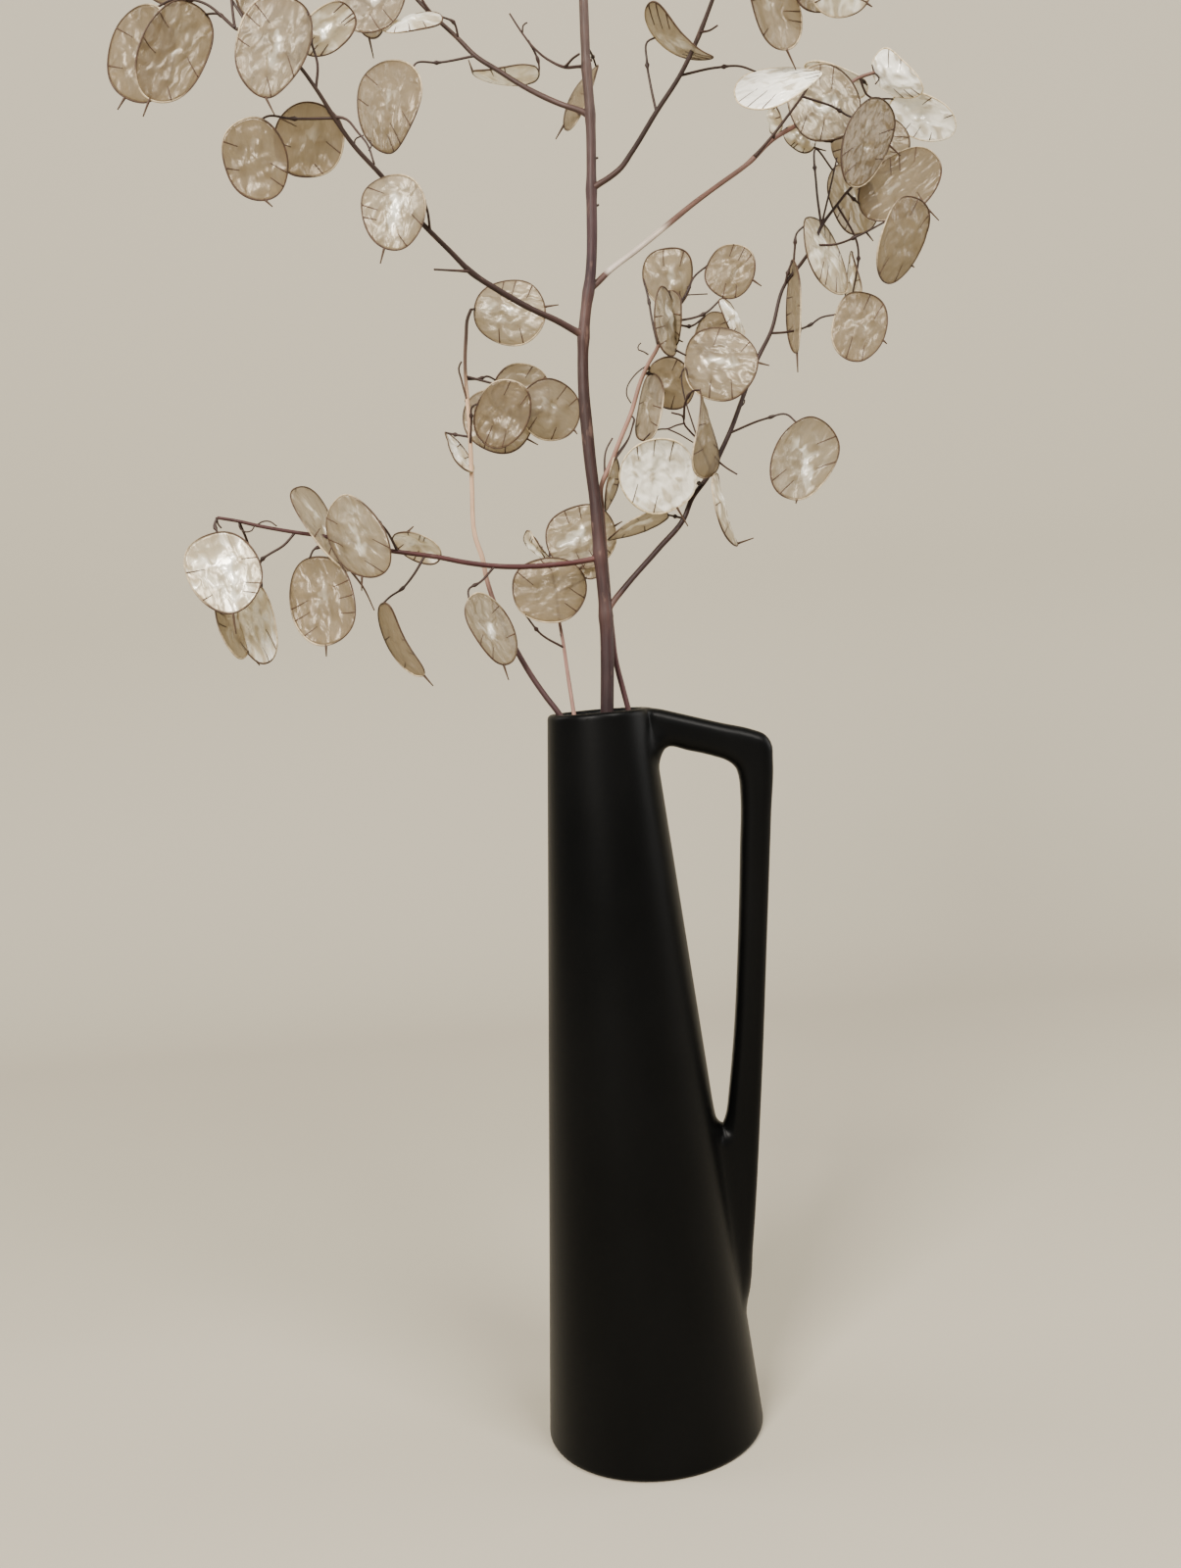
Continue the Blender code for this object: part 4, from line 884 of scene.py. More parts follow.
# %% Stems and branches as meshes
MAIN_SIDES = 20
BRANCH_SIDES = 10
PEDICEL_SIDES = 7
FORK_SWELL = 0.16
FORK_REACH = 0.0035
FLARE = 0.55
FLARE_REACH = 0.0022
WANDER = 0.05
WANDER_WAVE = 0.012
RIB_TWIST = 9.0
# Each set of ribs has its number round the stem, how fast it winds, and its height
RIBS = ((5, 1.0, 0.045), (3, -2.0, 0.02))
SHADE_WANDER = 0.12
SHADE_WAVE = 0.004


def bumps(stops, centres, reach, height):
    """A sum of bell curves of one height, round places along a way."""
    total = np.zeros(len(stops))
    for centre in centres:
        total += height * np.exp(-(((stops - centre) / reach) ** 2))
    return total


def slow_noise(stops, wave, rng):
    """A smooth random line between -1 and 1, whose values change about once a wave."""
    knots = int(stops[-1] / wave) + 3
    values = rng.uniform(-1.0, 1.0, knots)
    return np.interp(stops / wave, np.arange(knots), values)


def space_points(name):
    """A stem's or branch's points in space, with its hidden way inside the jug first."""
    route, depths, _ = ROUTES[name]
    points = seen(route, depths)
    if name in STEMS:
        points = np.vstack((np.array(STEMS[name].inside) * MM, points))
    return points


def add_stem(bundle, name, sides, step, seed):
    """One stem or branch: its smooth way, its radius along it and its ribs."""
    rng = np.random.default_rng(seed)
    points = space_points(name)
    way, shares, stops = smooth_way(points, step)
    thick = STEMS[name].thick if name in STEMS else BRANCHES[name].thick
    above = shares
    if name in STEMS:
        inside = lengths_along(points)[len(STEMS[name].inside)]
        above = np.clip((shares - inside) / (1.0 - inside), 0.0, 1.0)
    radii = between(thick, above) * MM
    forks = [stops[nearest_point(way, seen(ROUTES[other][0][0], ROUTES[other][1][0]))]
             for other, branch in BRANCHES.items() if branch.parent == name]
    radii *= (1.0 + WANDER * slow_noise(stops, WANDER_WAVE, rng)
              + bumps(stops, forks, FORK_REACH, FORK_SWELL))
    if name in BRANCHES:
        radii *= 1.0 + FLARE * np.exp(-stops / FLARE_REACH)
    twist = stops[:, None] * RIB_TWIST
    swell = 1.0 + sum(height * np.cos(count * round_angles(sides) + turns * twist)
                      for count, turns, height in RIBS)
    tint = stem_tint(name, above) * (1.0 + SHADE_WANDER * slow_noise(stops, SHADE_WAVE, rng))[:, None]
    bundle.take(carry_section(way, radii, sides, swell), tint[:, None],
                tube_places(stops, sides, thick[0] * MM))


# %% [markdown]
# ## The pods' sheets
#
# What is left of a honesty pod is its middle wall: an almost round sheet, thinner than paper,
# held in a stiff brown rim. Before the sheet is shaped it needs a frame: a centre, two half
# axes and a normal. The photograph shows a leaning pod shorter and a turned one narrower than
# it is, so the frame leans and turns each pod until a pod of true proportions shows as it does
# there. Which way it leans the photograph doesn't tell, so a seeded draw chooses.

# %% One pod's frame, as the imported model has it
POD_POWER = 2.15
DISH = (0.0008, 0.0022)
CURL = 0.0016
POD_RATIO = 1.30
LEAST_RATIO = 1.12
SHEET_SLACK = 1.02

PodFrame = namedtuple("PodFrame", "centre along across normal dish curl")


def bend(rng):
    """How far a pod's middle stands out of its plane, and how far its corners curl."""
    return rng.uniform(*DISH) * rng.choice((-1, 1)), rng.uniform(-CURL, CURL)


def picture_step(step):
    """The way in space, flat to the picture, of a step in pixels."""
    level_across = np.cos(ROLL) * step[0] - np.sin(ROLL) * step[1]
    level_down = np.sin(ROLL) * step[0] + np.cos(ROLL) * step[1]
    return level_across * RIGHT - level_down * LOOK_UP


def frame_pod(pod, depth, rng):
    """A pod's centre and half axes, turned and leaned until it shows as in the photograph."""
    head, foot = np.array(pod.head, float), np.array(pod.foot, float)
    centre = seen((head + foot) / 2, depth)
    scale = (centre - EYE) @ LOOK / FOCAL_PIXELS
    shown_length = np.linalg.norm(foot - head) * scale
    shown_width = pod.wide * scale
    length = max(shown_length * SHEET_SLACK, shown_width * LEAST_RATIO)
    lean = np.sqrt(length**2 - shown_length**2) / MM * rng.choice((-1, 1))
    top, low = seen(head, depth - lean / 2), seen(foot, depth + lean / 2)
    along = low - top
    width = max(shown_width, np.linalg.norm(along) / POD_RATIO)
    turn = np.arccos(min(1.0, shown_width / width)) * rng.choice((-1, 1))
    level = unit(picture_step((head[1] - foot[1], foot[0] - head[0])))
    across = level * np.cos(turn) + unit(centre - EYE) * np.sin(turn)
    normal = unit(np.cross(along, across))
    return PodFrame((top + low) / 2, along / 2, across * width / 2, normal, *bend(rng))


# %% [markdown]
# ## A sheet as a function
#
# One pod could be sculpted and copied, but then all would be alike. A function with seeded
# draws gives each its own creases. Its two parameters are the share of the way out from the
# middle and the angle round it. Its outline is a circle pushed out a little towards a square
# and stretched to the two half axes. Its height over its own plane is a sum: a dish that falls
# to nothing at the rim, a twist, a slow flutter of the edge, a dent for each seed, and short
# creases round the line from stalk to tip, each a narrow bell across and a wide one along.

# %% A pod's sheet as a function of two parameters
FLUTTER = 0.00060
FLUTTER_THIRD = 0.6
WOBBLE = 0.010
SEED_DENT = 0.00052
SEED_REACH = 0.0026
SEED_SET_IN = 0.12
SEED_COUNTS = (2, 2, 3)
FIRST_SEED_TURN = 68.0
SEED_TURNS = 70.0
SEED_JITTER = 8
SEED_AHEAD = 0.9
SEED_SHIFT = 0.05
SEED_ASIDE = (0.38, 0.58)
CREASES = 20
CREASE_SPREAD = (0.36, 0.22)
CREASE_FAN = 1.1
CREASE_REACH = (0.0022, 0.0055)
CREASE_WIDTH = (0.0010, 0.0018)
CREASE_HEIGHT = (0.00022, 0.00058)


class Sheet:
    """A pod's curved sheet: from a share of the way out and an angle to a point in space."""

    def __init__(self, frame, pod, joint, seed):
        """Takes a pod's frame and shape, and draws its seed stalks and creases by a seed."""
        self.frame = frame
        self.joint = joint
        self.taper, self.skew = pod.taper, pod.skew
        self.bow = pod.bow / (pod.wide / 2)
        self.rng = np.random.default_rng(seed)
        self.long, self.wide = (np.linalg.norm(axis) for axis in (frame.along, frame.across))
        self.phases = self.rng.uniform(0, 2 * np.pi, 4)
        self.stalks = self.pick_stalks()
        self.creases = self.pick_creases()

    def pick_stalks(self):
        """The seed stalks: the angle of each on the rim, and the share and angle of its end.
        They run in from both sides, square to the line from the pod's own stalk to its tip."""
        stalks = []
        for side in (-1, 1):
            count = int(self.rng.choice(SEED_COUNTS))
            for index in range(count):
                turn = FIRST_SEED_TURN + SEED_TURNS * (index + 0.5) / count
                turn = np.radians(turn + self.rng.uniform(-SEED_JITTER, SEED_JITTER))
                ahead = SEED_AHEAD * np.cos(turn) + SEED_SHIFT
                aside = self.rng.uniform(*SEED_ASIDE) * np.sin(turn)
                stalks.append((self.joint + side * turn, np.hypot(ahead, aside),
                               self.joint + side * np.arctan2(aside, ahead)))
        return stalks

    def pick_creases(self):
        """Soft creases round the line from stalk to tip, each with a place, a direction, a size
        and a height."""
        ahead, aside = self.rng.normal(0.0, CREASE_SPREAD, (CREASES, 2)).T
        along = ahead * np.cos(self.joint) - aside * np.sin(self.joint)
        across = ahead * np.sin(self.joint) + aside * np.cos(self.joint)
        place = np.column_stack((along * self.long, across * self.wide))
        fan = self.joint + self.rng.normal(0.0, CREASE_FAN, CREASES)
        reach = self.rng.uniform(*CREASE_REACH, CREASES)
        width = self.rng.uniform(*CREASE_WIDTH, CREASES)
        height = self.rng.uniform(*CREASE_HEIGHT, CREASES) * self.rng.choice((-1, 1), CREASES)
        return np.column_stack((place, np.cos(fan), np.sin(fan), reach, width, height))

    def flat(self, share, angle):
        """The place on the pod's plane, in shares of its half axes."""
        push = 2.0 / POD_POWER
        cosine, sine = np.cos(angle), np.sin(angle)
        ripple = np.sin(3 * angle + self.phases[0]) + np.sin(5 * angle + self.phases[1])
        edge = 1.0 + WOBBLE * ripple
        along = share * edge * np.abs(cosine) ** push * np.sign(cosine)
        across = share * edge * np.abs(sine) ** push * np.sign(sine)
        return along, across

    def height(self, share, angle, along, across):
        """How far the sheet stands out of its plane."""
        x, y = share * np.cos(angle), share * np.sin(angle)
        rise = self.frame.dish * (1.0 - share**2) + self.frame.curl * x * y
        flutter = (np.sin(2 * angle + self.phases[2])
                   + FLUTTER_THIRD * np.sin(3 * angle + self.phases[3]))
        rise = rise + FLUTTER * share**3 * flutter
        u, v = along * self.long, across * self.wide
        for _, end, inward in self.stalks:
            seed_u, seed_v = self.flat(end - SEED_SET_IN, inward)
            gap = (u - seed_u * self.long) ** 2 + (v - seed_v * self.wide) ** 2
            rise = rise - SEED_DENT * np.exp(-gap / SEED_REACH**2)
        for place_u, place_v, way_u, way_v, reach, width, height in self.creases:
            ahead = (u - place_u) * way_u + (v - place_v) * way_v
            aside = (v - place_v) * way_u - (u - place_u) * way_v
            rise = rise + height * np.exp(-((ahead / reach) ** 2) - (aside / width) ** 2)
        return rise

    def point(self, share, angle, lift=0.0):
        """The point at a share of the way out and an angle, lifted off the sheet."""
        share, angle = np.broadcast_arrays(np.asarray(share, float), np.asarray(angle, float))
        along, across = self.flat(share, angle)
        rise = self.height(share, angle, along, across) + lift
        leaned = across * (1.0 - (self.taper + self.skew * np.sign(across)) * along)
        leaned = leaned + self.bow * (1.0 - along**2)
        frame = self.frame
        return (frame.centre + along[..., None] * frame.along + leaned[..., None] * frame.across
                + rise[..., None] * unit(frame.normal))

    def place(self, share, angle):
        """The place on the pod's own plane, in metres, with a number of the pod's as its third."""
        along, across = self.flat(*np.broadcast_arrays(share, angle))
        third = np.full(along.shape, self.phases[0])
        return np.stack((along * self.long, across * self.wide, third), axis=-1)


# %% [markdown]
# ## Pearl, marks and the two faces
#
# A sheet is pearliest along the line from stalk to tip, which its finish paints white, partly as
# sheen. It is browner close to its rim, and darker brown round where each seed lay, partly as
# the seed's mark and partly as painted shade. A picture could show that, but every pod would
# need its own.
# So each point stores its tint and its share of pearl, which are worked out from bells round
# that line and round the flecks. The two faces lie a hair's breadth either side of the one
# curved sheet, and close at its edge.

# %% A sheet's faces and what its skin stores
SHEET_ROWS = 15
SHEET_SIDES = 64
SHEET_HUB = 0.07
HALF_SHEET = 0.00014
EDGE_BROWN = np.array((0.18, 0.24, 0.32))
EDGE_POWER = 6
PEARL_REACH = (0.62, 0.34)
# Darker brown round each seed's place: partly the seed's mark, partly painted shade
MARK_AND_SHADE_BROWN = np.array((0.24, 0.29, 0.36))
MARK_REACH = 0.0018
MARK_SET_IN = 0.06
MARK_DULLS = 0.10


def pearl_share(sheet, shares, angles):
    """How pearly the skin is: a bell across the line from stalk to tip, a wider one along it."""
    ahead, aside = shares * np.cos(angles - sheet.joint), shares * np.sin(angles - sheet.joint)
    return np.exp(-((aside / PEARL_REACH[1]) ** 2) - (ahead / PEARL_REACH[0]) ** 2)


def seed_marks_and_shade(sheet, shares, angles):
    """How close each point is to where a seed lay, which is darkened partly as the seed's mark and partly as
    painted shade: a bell round every stalk's end.
    """
    place = sheet.place(shares, angles)
    total = np.zeros(place.shape[:-1])
    for _, end, inward in sheet.stalks:
        gap = np.linalg.norm((place - sheet.place(end - MARK_SET_IN, inward))[..., :2], axis=-1)
        total += np.exp(-((gap / MARK_REACH) ** 2))
    return np.minimum(total, 1.0)


def add_sheet(bundle, sheet, tint, pearl):
    """The closed sheet: from the middle of one face out over the edge to the other's middle. It is most
    pearly along its middle, browner close to its rim, and darker where seeds lay, partly as their marks and
    partly as painted shade."""
    shares = np.linspace(SHEET_HUB, 1.0, SHEET_ROWS)
    shares = np.concatenate((shares, shares[::-1]))[:, None]
    lifts = np.repeat((HALF_SHEET, -HALF_SHEET), SHEET_ROWS)[:, None]
    shares, angles = np.broadcast_arrays(shares, round_angles(SHEET_SIDES)[None, :])
    lifts = np.broadcast_to(lifts, shares.shape)
    # Darker where seeds lay: partly their marks, partly painted shade
    marks_and_shade = seed_marks_and_shade(sheet, shares, angles)[..., None]
    tints = tint * (1.0 - EDGE_BROWN * shares[..., None] ** EDGE_POWER) * (1.0 - MARK_AND_SHADE_BROWN * marks_and_shade)
    pearls = pearl[0] + pearl[1] * pearl_share(sheet, shares, angles) - MARK_DULLS * marks_and_shade[..., 0]
    bundle.take(sheet.point(shares, angles, lifts), tints, sheet.place(shares, angles), pearl=pearls)


# %% [markdown]
# ## Rims and seed stalks
#
# The rim is what is left of the pod's frame: a thin bead, dark brown, and worn pale along one
# stretch. A plain ring would part from the sheet, so small circles are carried round the
# sheet's own edge, and the rim follows every ripple. Each seed hung on a short dark stalk that
# runs in from the rim over the sheet. Both share a mesh, because they share a finish.

# %% Rims, and seed stalks on the sheet
RIM_SIDES = 6
RIM_RADIUS_RANGE = (0.00030, 0.00043)
WORN_SLOPE = 1.7
WORN_START = 0.9
MOST_WORN = 0.75
STALK_ROWS = 8
STALK_SIDES = 5
STALK_ROOT = 0.995
STALK_RADII = (0.00037, 0.00024)


def worn_share(sheet, angles):
    """How far the rim is worn pale at each angle: one stretch on one side of the pod."""
    worn = WORN_SLOPE * np.cos(angles - sheet.phases[1]) - WORN_START
    return np.clip(worn, 0.0, MOST_WORN)[:, None]


def add_rim(bundle, sheet, dark, pale):
    """The rim: a thin round bead that follows the sheet's edge, dark but for one pale stretch."""
    angles = round_angles(SHEET_SIDES)
    edge = sheet.point(np.ones(SHEET_SIDES), angles)
    ahead = unit(np.roll(edge, -1, axis=0) - np.roll(edge, 1, axis=0))
    lift = unit(np.broadcast_to(sheet.frame.normal, edge.shape))
    side = np.cross(ahead, lift)
    turn = round_angles(RIM_SIDES)[:, None]
    ring = np.cos(turn) * side[:, None] + np.sin(turn) * lift[:, None]
    radius = between(RIM_RADIUS_RANGE, 0.5 + 0.5 * np.sin(2 * angles))
    grid = edge[:, None] + ring * radius[:, None, None]
    place = np.broadcast_to(sheet.place(np.ones(SHEET_SIDES), angles)[:, None], grid.shape)
    worn = worn_share(sheet, angles)
    bundle.take(grid, (dark * (1.0 - worn) + pale * worn)[:, None], place, looped=True)


def add_stalks(bundle, sheet, tint):
    """The seed stalks: short dark lines on the sheet, from the rim towards each seed's dent."""
    for angle, end, inward in sheet.stalks:
        run = np.linspace(0.0, 1.0, STALK_ROWS)
        ahead = (1.0 - run) * np.cos(angle) + run * end * np.cos(inward)
        aside = (1.0 - run) * np.sin(angle) + run * end * np.sin(inward)
        share, turn = STALK_ROOT * np.hypot(ahead, aside), np.arctan2(aside, ahead)
        grid = carry_section(sheet.point(share, turn), between(STALK_RADII, run), STALK_SIDES)
        bundle.take(grid, tint, sheet.place(share, turn)[:, None])


# %% [markdown]
# ## Pod stalks and styles
#
# A pod hangs on a thin curved stalk with a small dark joint part way along, and ends in a short
# stiff point, the flower's old style. The joint could be a bead of its own, but the stalk is
# one piece with it, so it is a bell-shaped bump in the radius of a thin tube.

# %% Thin stalks
PEDICEL_RADIUS = 0.00055
PEDICEL_RADII = (PEDICEL_RADIUS * 1.1, PEDICEL_RADIUS * 0.8)
STYLE_RADII = (0.00058, 0.00026)
THIN_STEP = 0.0013
JOINT_SWELL = 1.25
JOINT_REACH = 0.0008


def add_thin(bundle, points, radii, tint, joint=None):
    """A thin tapering tube through points, with a bump where its joint is."""
    way, shares, stops = smooth_way(points, THIN_STEP)
    radii = between(radii, shares)
    if joint is not None:
        radii = radii * (1.0 + bumps(stops, [joint * stops[-1]], JOINT_REACH, JOINT_SWELL))
    bundle.take(carry_section(way, radii, PEDICEL_SIDES), tint,
                tube_places(stops, PEDICEL_SIDES, PEDICEL_RADIUS))


def edge_angle(pod, pixel):
    """The angle on a pod's edge that lies towards a pixel."""
    head, foot = np.array(pod.head, float), np.array(pod.foot, float)
    half = np.linalg.norm(foot - head) / 2
    ahead = (foot - head) / (2 * half)
    off = np.array(pixel, float) - (head + foot) / 2
    along = off @ ahead / half
    across = (off[1] * ahead[0] - off[0] * ahead[1]) / (pod.wide / 2)
    return np.arctan2(across, along)


# %% [markdown]
# ## Finishes
#
# Every finish here is a shader with a few noises, and no picture. A pattern has to lie still on
# its piece, so it reads the places that the meshes store, or the object's own coordinates for
# the jug. A few helpers keep the node trees short: one adds a node, one lays a stretched noise,
# one turns a value into colours by a ramp, one lays a colour over another.

# %% Material helpers


def new_material(name):
    """A new material with its node tree, its shader and its output."""
    material = bpy.data.materials.new(name)
    material.use_nodes = True
    tree = material.node_tree
    return material, tree, tree.nodes["Principled BSDF"], tree.nodes["Material Output"]


def add_node(tree, kind, values=None, **settings):
    """A node with its settings and its unlinked sockets set."""
    node = tree.nodes.new(kind)
    for name, value in settings.items():
        setattr(node, name, value)
    for name, value in (values or {}).items():
        node.inputs[name].default_value = value
    return node


def noise_on(tree, source, stretch, scale, detail=3.0, roughness=0.55, twist=0.0):
    """A noise that reads a vector stretched along its axes, and twists itself if asked."""
    mapping = add_node(tree, "ShaderNodeMapping")
    mapping.inputs["Scale"].default_value = stretch
    values = {"Scale": scale, "Detail": detail, "Roughness": roughness, "Distortion": twist}
    noise = add_node(tree, "ShaderNodeTexNoise", values)
    tree.links.new(source, mapping.inputs["Vector"])
    tree.links.new(mapping.outputs["Vector"], noise.inputs["Vector"])
    return noise.outputs["Fac"]


def ramp_on(tree, source, stops):
    """A colour ramp over a value."""
    ramp = add_node(tree, "ShaderNodeValToRGB")
    elements = ramp.color_ramp.elements
    while len(elements) < len(stops):
        elements.new(0.5)
    for element, (position, colour) in zip(elements, stops):
        element.position = position
        element.color = (*colour, 1.0)
    tree.links.new(source, ramp.inputs["Fac"])
    return ramp.outputs["Color"]


def grey(value):
    """A value as a colour with three equal parts."""
    return (value, value, value)


def fade_on(tree, source, *stops):
    """A ramp of plain values over a value."""
    return ramp_on(tree, source, [(position, grey(value)) for position, value in stops])


def stored(tree, name, output):
    """A value that the mesh stores with each point."""
    return add_node(tree, "ShaderNodeAttribute", attribute_name=name).outputs[output]


def blend_colours(tree, mode, factor, first, second):
    """One colour laid over another by a blend mode."""
    mix = add_node(tree, "ShaderNodeMix", data_type="RGBA", blend_type=mode)
    for socket, source in ((mix.inputs["Factor"], factor), (mix.inputs[6], first), (mix.inputs[7], second)):
        if isinstance(source, bpy.types.NodeSocket):
            tree.links.new(source, socket)
        elif isinstance(source, float):
            socket.default_value = source
        else:
            socket.default_value = (*source, 1.0)
    return mix.outputs[2]


def bump_on(tree, source, strength, distance):
    """A normal tilted by the slope of a height."""
    bump = add_node(tree, "ShaderNodeBump", {"Strength": strength, "Distance": distance})
    tree.links.new(source, bump.inputs["Height"])
    return bump.outputs["Normal"]


# %% [markdown]
# ## The black glaze
#
# The glaze is nearly black and satin rather than shiny, so its highlights are long, soft and
# weak. One plain colour would look like plastic. So a slow cloud makes it a little uneven, in
# colour and in gloss, and a fine grain softens its highlights. Both are noises in the jug's own
# coordinates, which have no seam. Along the bottom of the foot a thin warm band, dull and
# clay-coloured, is a painted reflection of the floor that the jug stands on.

# %% The glaze
GLAZE_SHADES = ((0.0010, 0.0011, 0.0011), (0.0020, 0.0020, 0.0020))
# A warm band along the bottom of the foot, and its dull roughness two lines down: a painted reflection of
# the floor that the jug stands on
FOOT_REFLECTION_SHADES = ((0.17, 0.125, 0.09), (0.26, 0.20, 0.15))
GLAZE_ROUGHNESS = (0.33, 0.41)
FOOT_REFLECTION_ROUGHNESS = 0.9
GLAZE_SPECULAR = 0.075
FOOT_HEIGHTS = (0.0003, 0.0007)


def make_glaze():
    """Satin black glaze, with a painted warm reflection in a thin band along the bottom of the foot."""
    material, tree, shader, _ = new_material("satin black glaze")
    position = add_node(tree, "ShaderNodeTexCoord").outputs["Object"]
    cloud = noise_on(tree, position, (1.0, 1.0, 0.6), 18.0, 4.0)
    fine = noise_on(tree, position, (1.0, 1.0, 1.0), 420.0, 2.0)
    glaze = ramp_on(tree, cloud, [(0.3, GLAZE_SHADES[0]), (0.7, GLAZE_SHADES[1])])
    height = add_node(tree, "ShaderNodeSeparateXYZ")
    tree.links.new(position, height.inputs["Vector"])
    foot = add_node(tree, "ShaderNodeMapRange",
                    {"From Min": FOOT_HEIGHTS[0], "From Max": FOOT_HEIGHTS[1], "To Min": 1.0, "To Max": 0.0})
    tree.links.new(height.outputs["Z"], foot.inputs["Value"])
    # Painted reflection: the warm, dull band along the bottom of the foot, in the colour that is called clay
    # here
    foot_reflection = foot.outputs["Result"]
    clay = ramp_on(tree, fine, [(0.35, FOOT_REFLECTION_SHADES[0]), (0.65, FOOT_REFLECTION_SHADES[1])])
    tree.links.new(blend_colours(tree, "MIX", foot_reflection, glaze, clay), shader.inputs["Base Color"])
    rough = fade_on(tree, cloud, (0.3, GLAZE_ROUGHNESS[0]), (0.7, GLAZE_ROUGHNESS[1]))
    rough = blend_colours(tree, "MIX", foot_reflection, rough, grey(FOOT_REFLECTION_ROUGHNESS))
    tree.links.new(rough, shader.inputs["Roughness"])
    tree.links.new(bump_on(tree, fine, 0.10, 0.0002), shader.inputs["Normal"])
    shader.inputs["Specular IOR Level"].default_value = GLAZE_SPECULAR
    return material


# %% [markdown]
# ## The pearly skin
#
# A pod's sheet is silky, a little see-through, and white where it is pearly. Three noises lie
# on the pod's own plane: broad clouds, crinkles that run across the pod, and a fine silk.
# Clouds, crinkles and the stored pearl add up to a cover. Where the cover is full the skin is
# painted white and glossy: partly the skin's own pearly tone, partly painted sheen, and on the
# crinkles' folds painted highlights. Where it is thin the skin keeps its pod's tint, lets more
# light through and shows rims behind it, a little browned. The crinkles also tilt the surface,
# and a share of metallic shine, less on the whitest pods, turns their slopes into silvery
# glints. One shader with an even share of alpha would be as clear where it is white as where it
# is thin. So three are mixed by the cover: the skin, one that lets light through, and one that
# is clear.

# %% The pods' skin
CLOUD_WEIGHT = 0.55
SILK_WEIGHT = 0.45
# Whites where the cover is full: partly the skin's pearly tone, partly painted sheen, brightest as painted
# highlights on the folds
PEARL_AND_SHEEN_WHITES = (paint(204, 194, 172), paint(255, 252, 240))
CLEAR_BROWN = paint(224, 216, 198)
CLEAR_WHITE = paint(255, 251, 234)
SKIN_SPECULAR = 0.8
FOLD_BUMP = (1.0, 0.0024)


def add_cover(tree, cloud, fold, pearl):
    """How well the skin covers what lies behind, and so how white it is painted: its clouds, its crinkles
    and its pearl. The crinkles' share paints glints of light on the folds.
    """
    # Painted glints: the crinkles' ridges thicken the cover, which paints them white
    crinkle_and_glint = fade_on(tree, fold, (0.46, 0.0), (0.60, 0.23))
    cloudy = add_node(tree, "ShaderNodeMath", operation="MULTIPLY_ADD")
    tree.links.new(cloud, cloudy.inputs[0])
    cloudy.inputs[1].default_value = CLOUD_WEIGHT
    tree.links.new(crinkle_and_glint, cloudy.inputs[2])
    dense = add_node(tree, "ShaderNodeMath", operation="ADD")
    tree.links.new(cloudy.outputs["Value"], dense.inputs[0])
    tree.links.new(pearl, dense.inputs[1])
    return fade_on(tree, dense.outputs["Value"], (0.62, 0.0), (0.98, 1.0))


def add_skin_colour(tree, place, cloud, fold, cover):
    """The skin's colour: its tint where the cover is thin, white where it is full, and silk. The white is
    partly the skin's pearly tone and partly painted sheen, brightest on the folds as painted highlights.
    """
    skin = blend_colours(tree, "MULTIPLY", 1.0, stored(tree, "tint", "Color"),
                         fade_on(tree, cloud, (0.3, 0.86), (0.7, 1.06)))
    # Painted highlights: the white is brightest on the crinkles' folds
    white_and_lit = ramp_on(tree, fold, [(0.36, PEARL_AND_SHEEN_WHITES[0]), (0.46, PEARL_AND_SHEEN_WHITES[1])])
    skin = blend_colours(tree, "MIX", cover, skin, white_and_lit)
    silk = noise_on(tree, place, (420.0, 1500.0, 1.0), 1.0, 3.0, 0.6)
    shine = fade_on(tree, silk, (0.38, 0.88), (0.62, 1.05))
    return blend_colours(tree, "MULTIPLY", SILK_WEIGHT, skin, shine)


def mix_shaders(tree, share, first, second):
    """Two shaders mixed by a share of the second."""
    mix = add_node(tree, "ShaderNodeMixShader")
    tree.links.new(share, mix.inputs["Fac"])
    tree.links.new(first, mix.inputs[1])
    tree.links.new(second, mix.inputs[2])
    return mix.outputs["Shader"]


def make_pod_finish():
    """Pearly pod skin: silky and partly clear, denser and whiter where pearl is stored. The whiteness is
    partly the skin's own and partly painted sheen and highlights.
    """
    material, tree, shader, output = new_material("pearly pod skin")
    place = stored(tree, "place", "Vector")
    pearl = stored(tree, "pearl", "Fac")
    cloud = noise_on(tree, place, (85.0, 95.0, 1.0), 1.0, 2.0, 0.5, 0.3)
    fold = noise_on(tree, place, (130.0, 210.0, 1.0), 1.0, 1.6, 0.4, 0.35)
    cover = add_cover(tree, cloud, fold, pearl)
    skin = add_skin_colour(tree, place, cloud, fold, cover)
    tree.links.new(skin, shader.inputs["Base Color"])
    tree.links.new(fade_on(tree, cover, (0.0, 0.36), (1.0, 0.27)), shader.inputs["Roughness"])
    tree.links.new(bump_on(tree, fold, *FOLD_BUMP), shader.inputs["Normal"])
    tree.links.new(fade_on(tree, pearl, (0.60, 0.30), (0.80, 0.06)), shader.inputs["Metallic"])
    shader.inputs["Specular IOR Level"].default_value = SKIN_SPECULAR
    glow = add_node(tree, "ShaderNodeBsdfTranslucent")
    tree.links.new(skin, glow.inputs["Color"])
    lit = mix_shaders(tree, fade_on(tree, cover, (0.0, 0.40), (1.0, 0.12)),
                      shader.outputs["BSDF"], glow.outputs["BSDF"])
    clear = add_node(tree, "ShaderNodeBsdfTransparent")
    tree.links.new(blend_colours(tree, "MIX", cover, CLEAR_BROWN, CLEAR_WHITE), clear.inputs["Color"])
    thin = mix_shaders(tree, fade_on(tree, cover, (0.0, 0.42), (1.0, 0.03)),
                       lit, clear.outputs["BSDF"])
    tree.links.new(thin, output.inputs["Surface"])
    return material


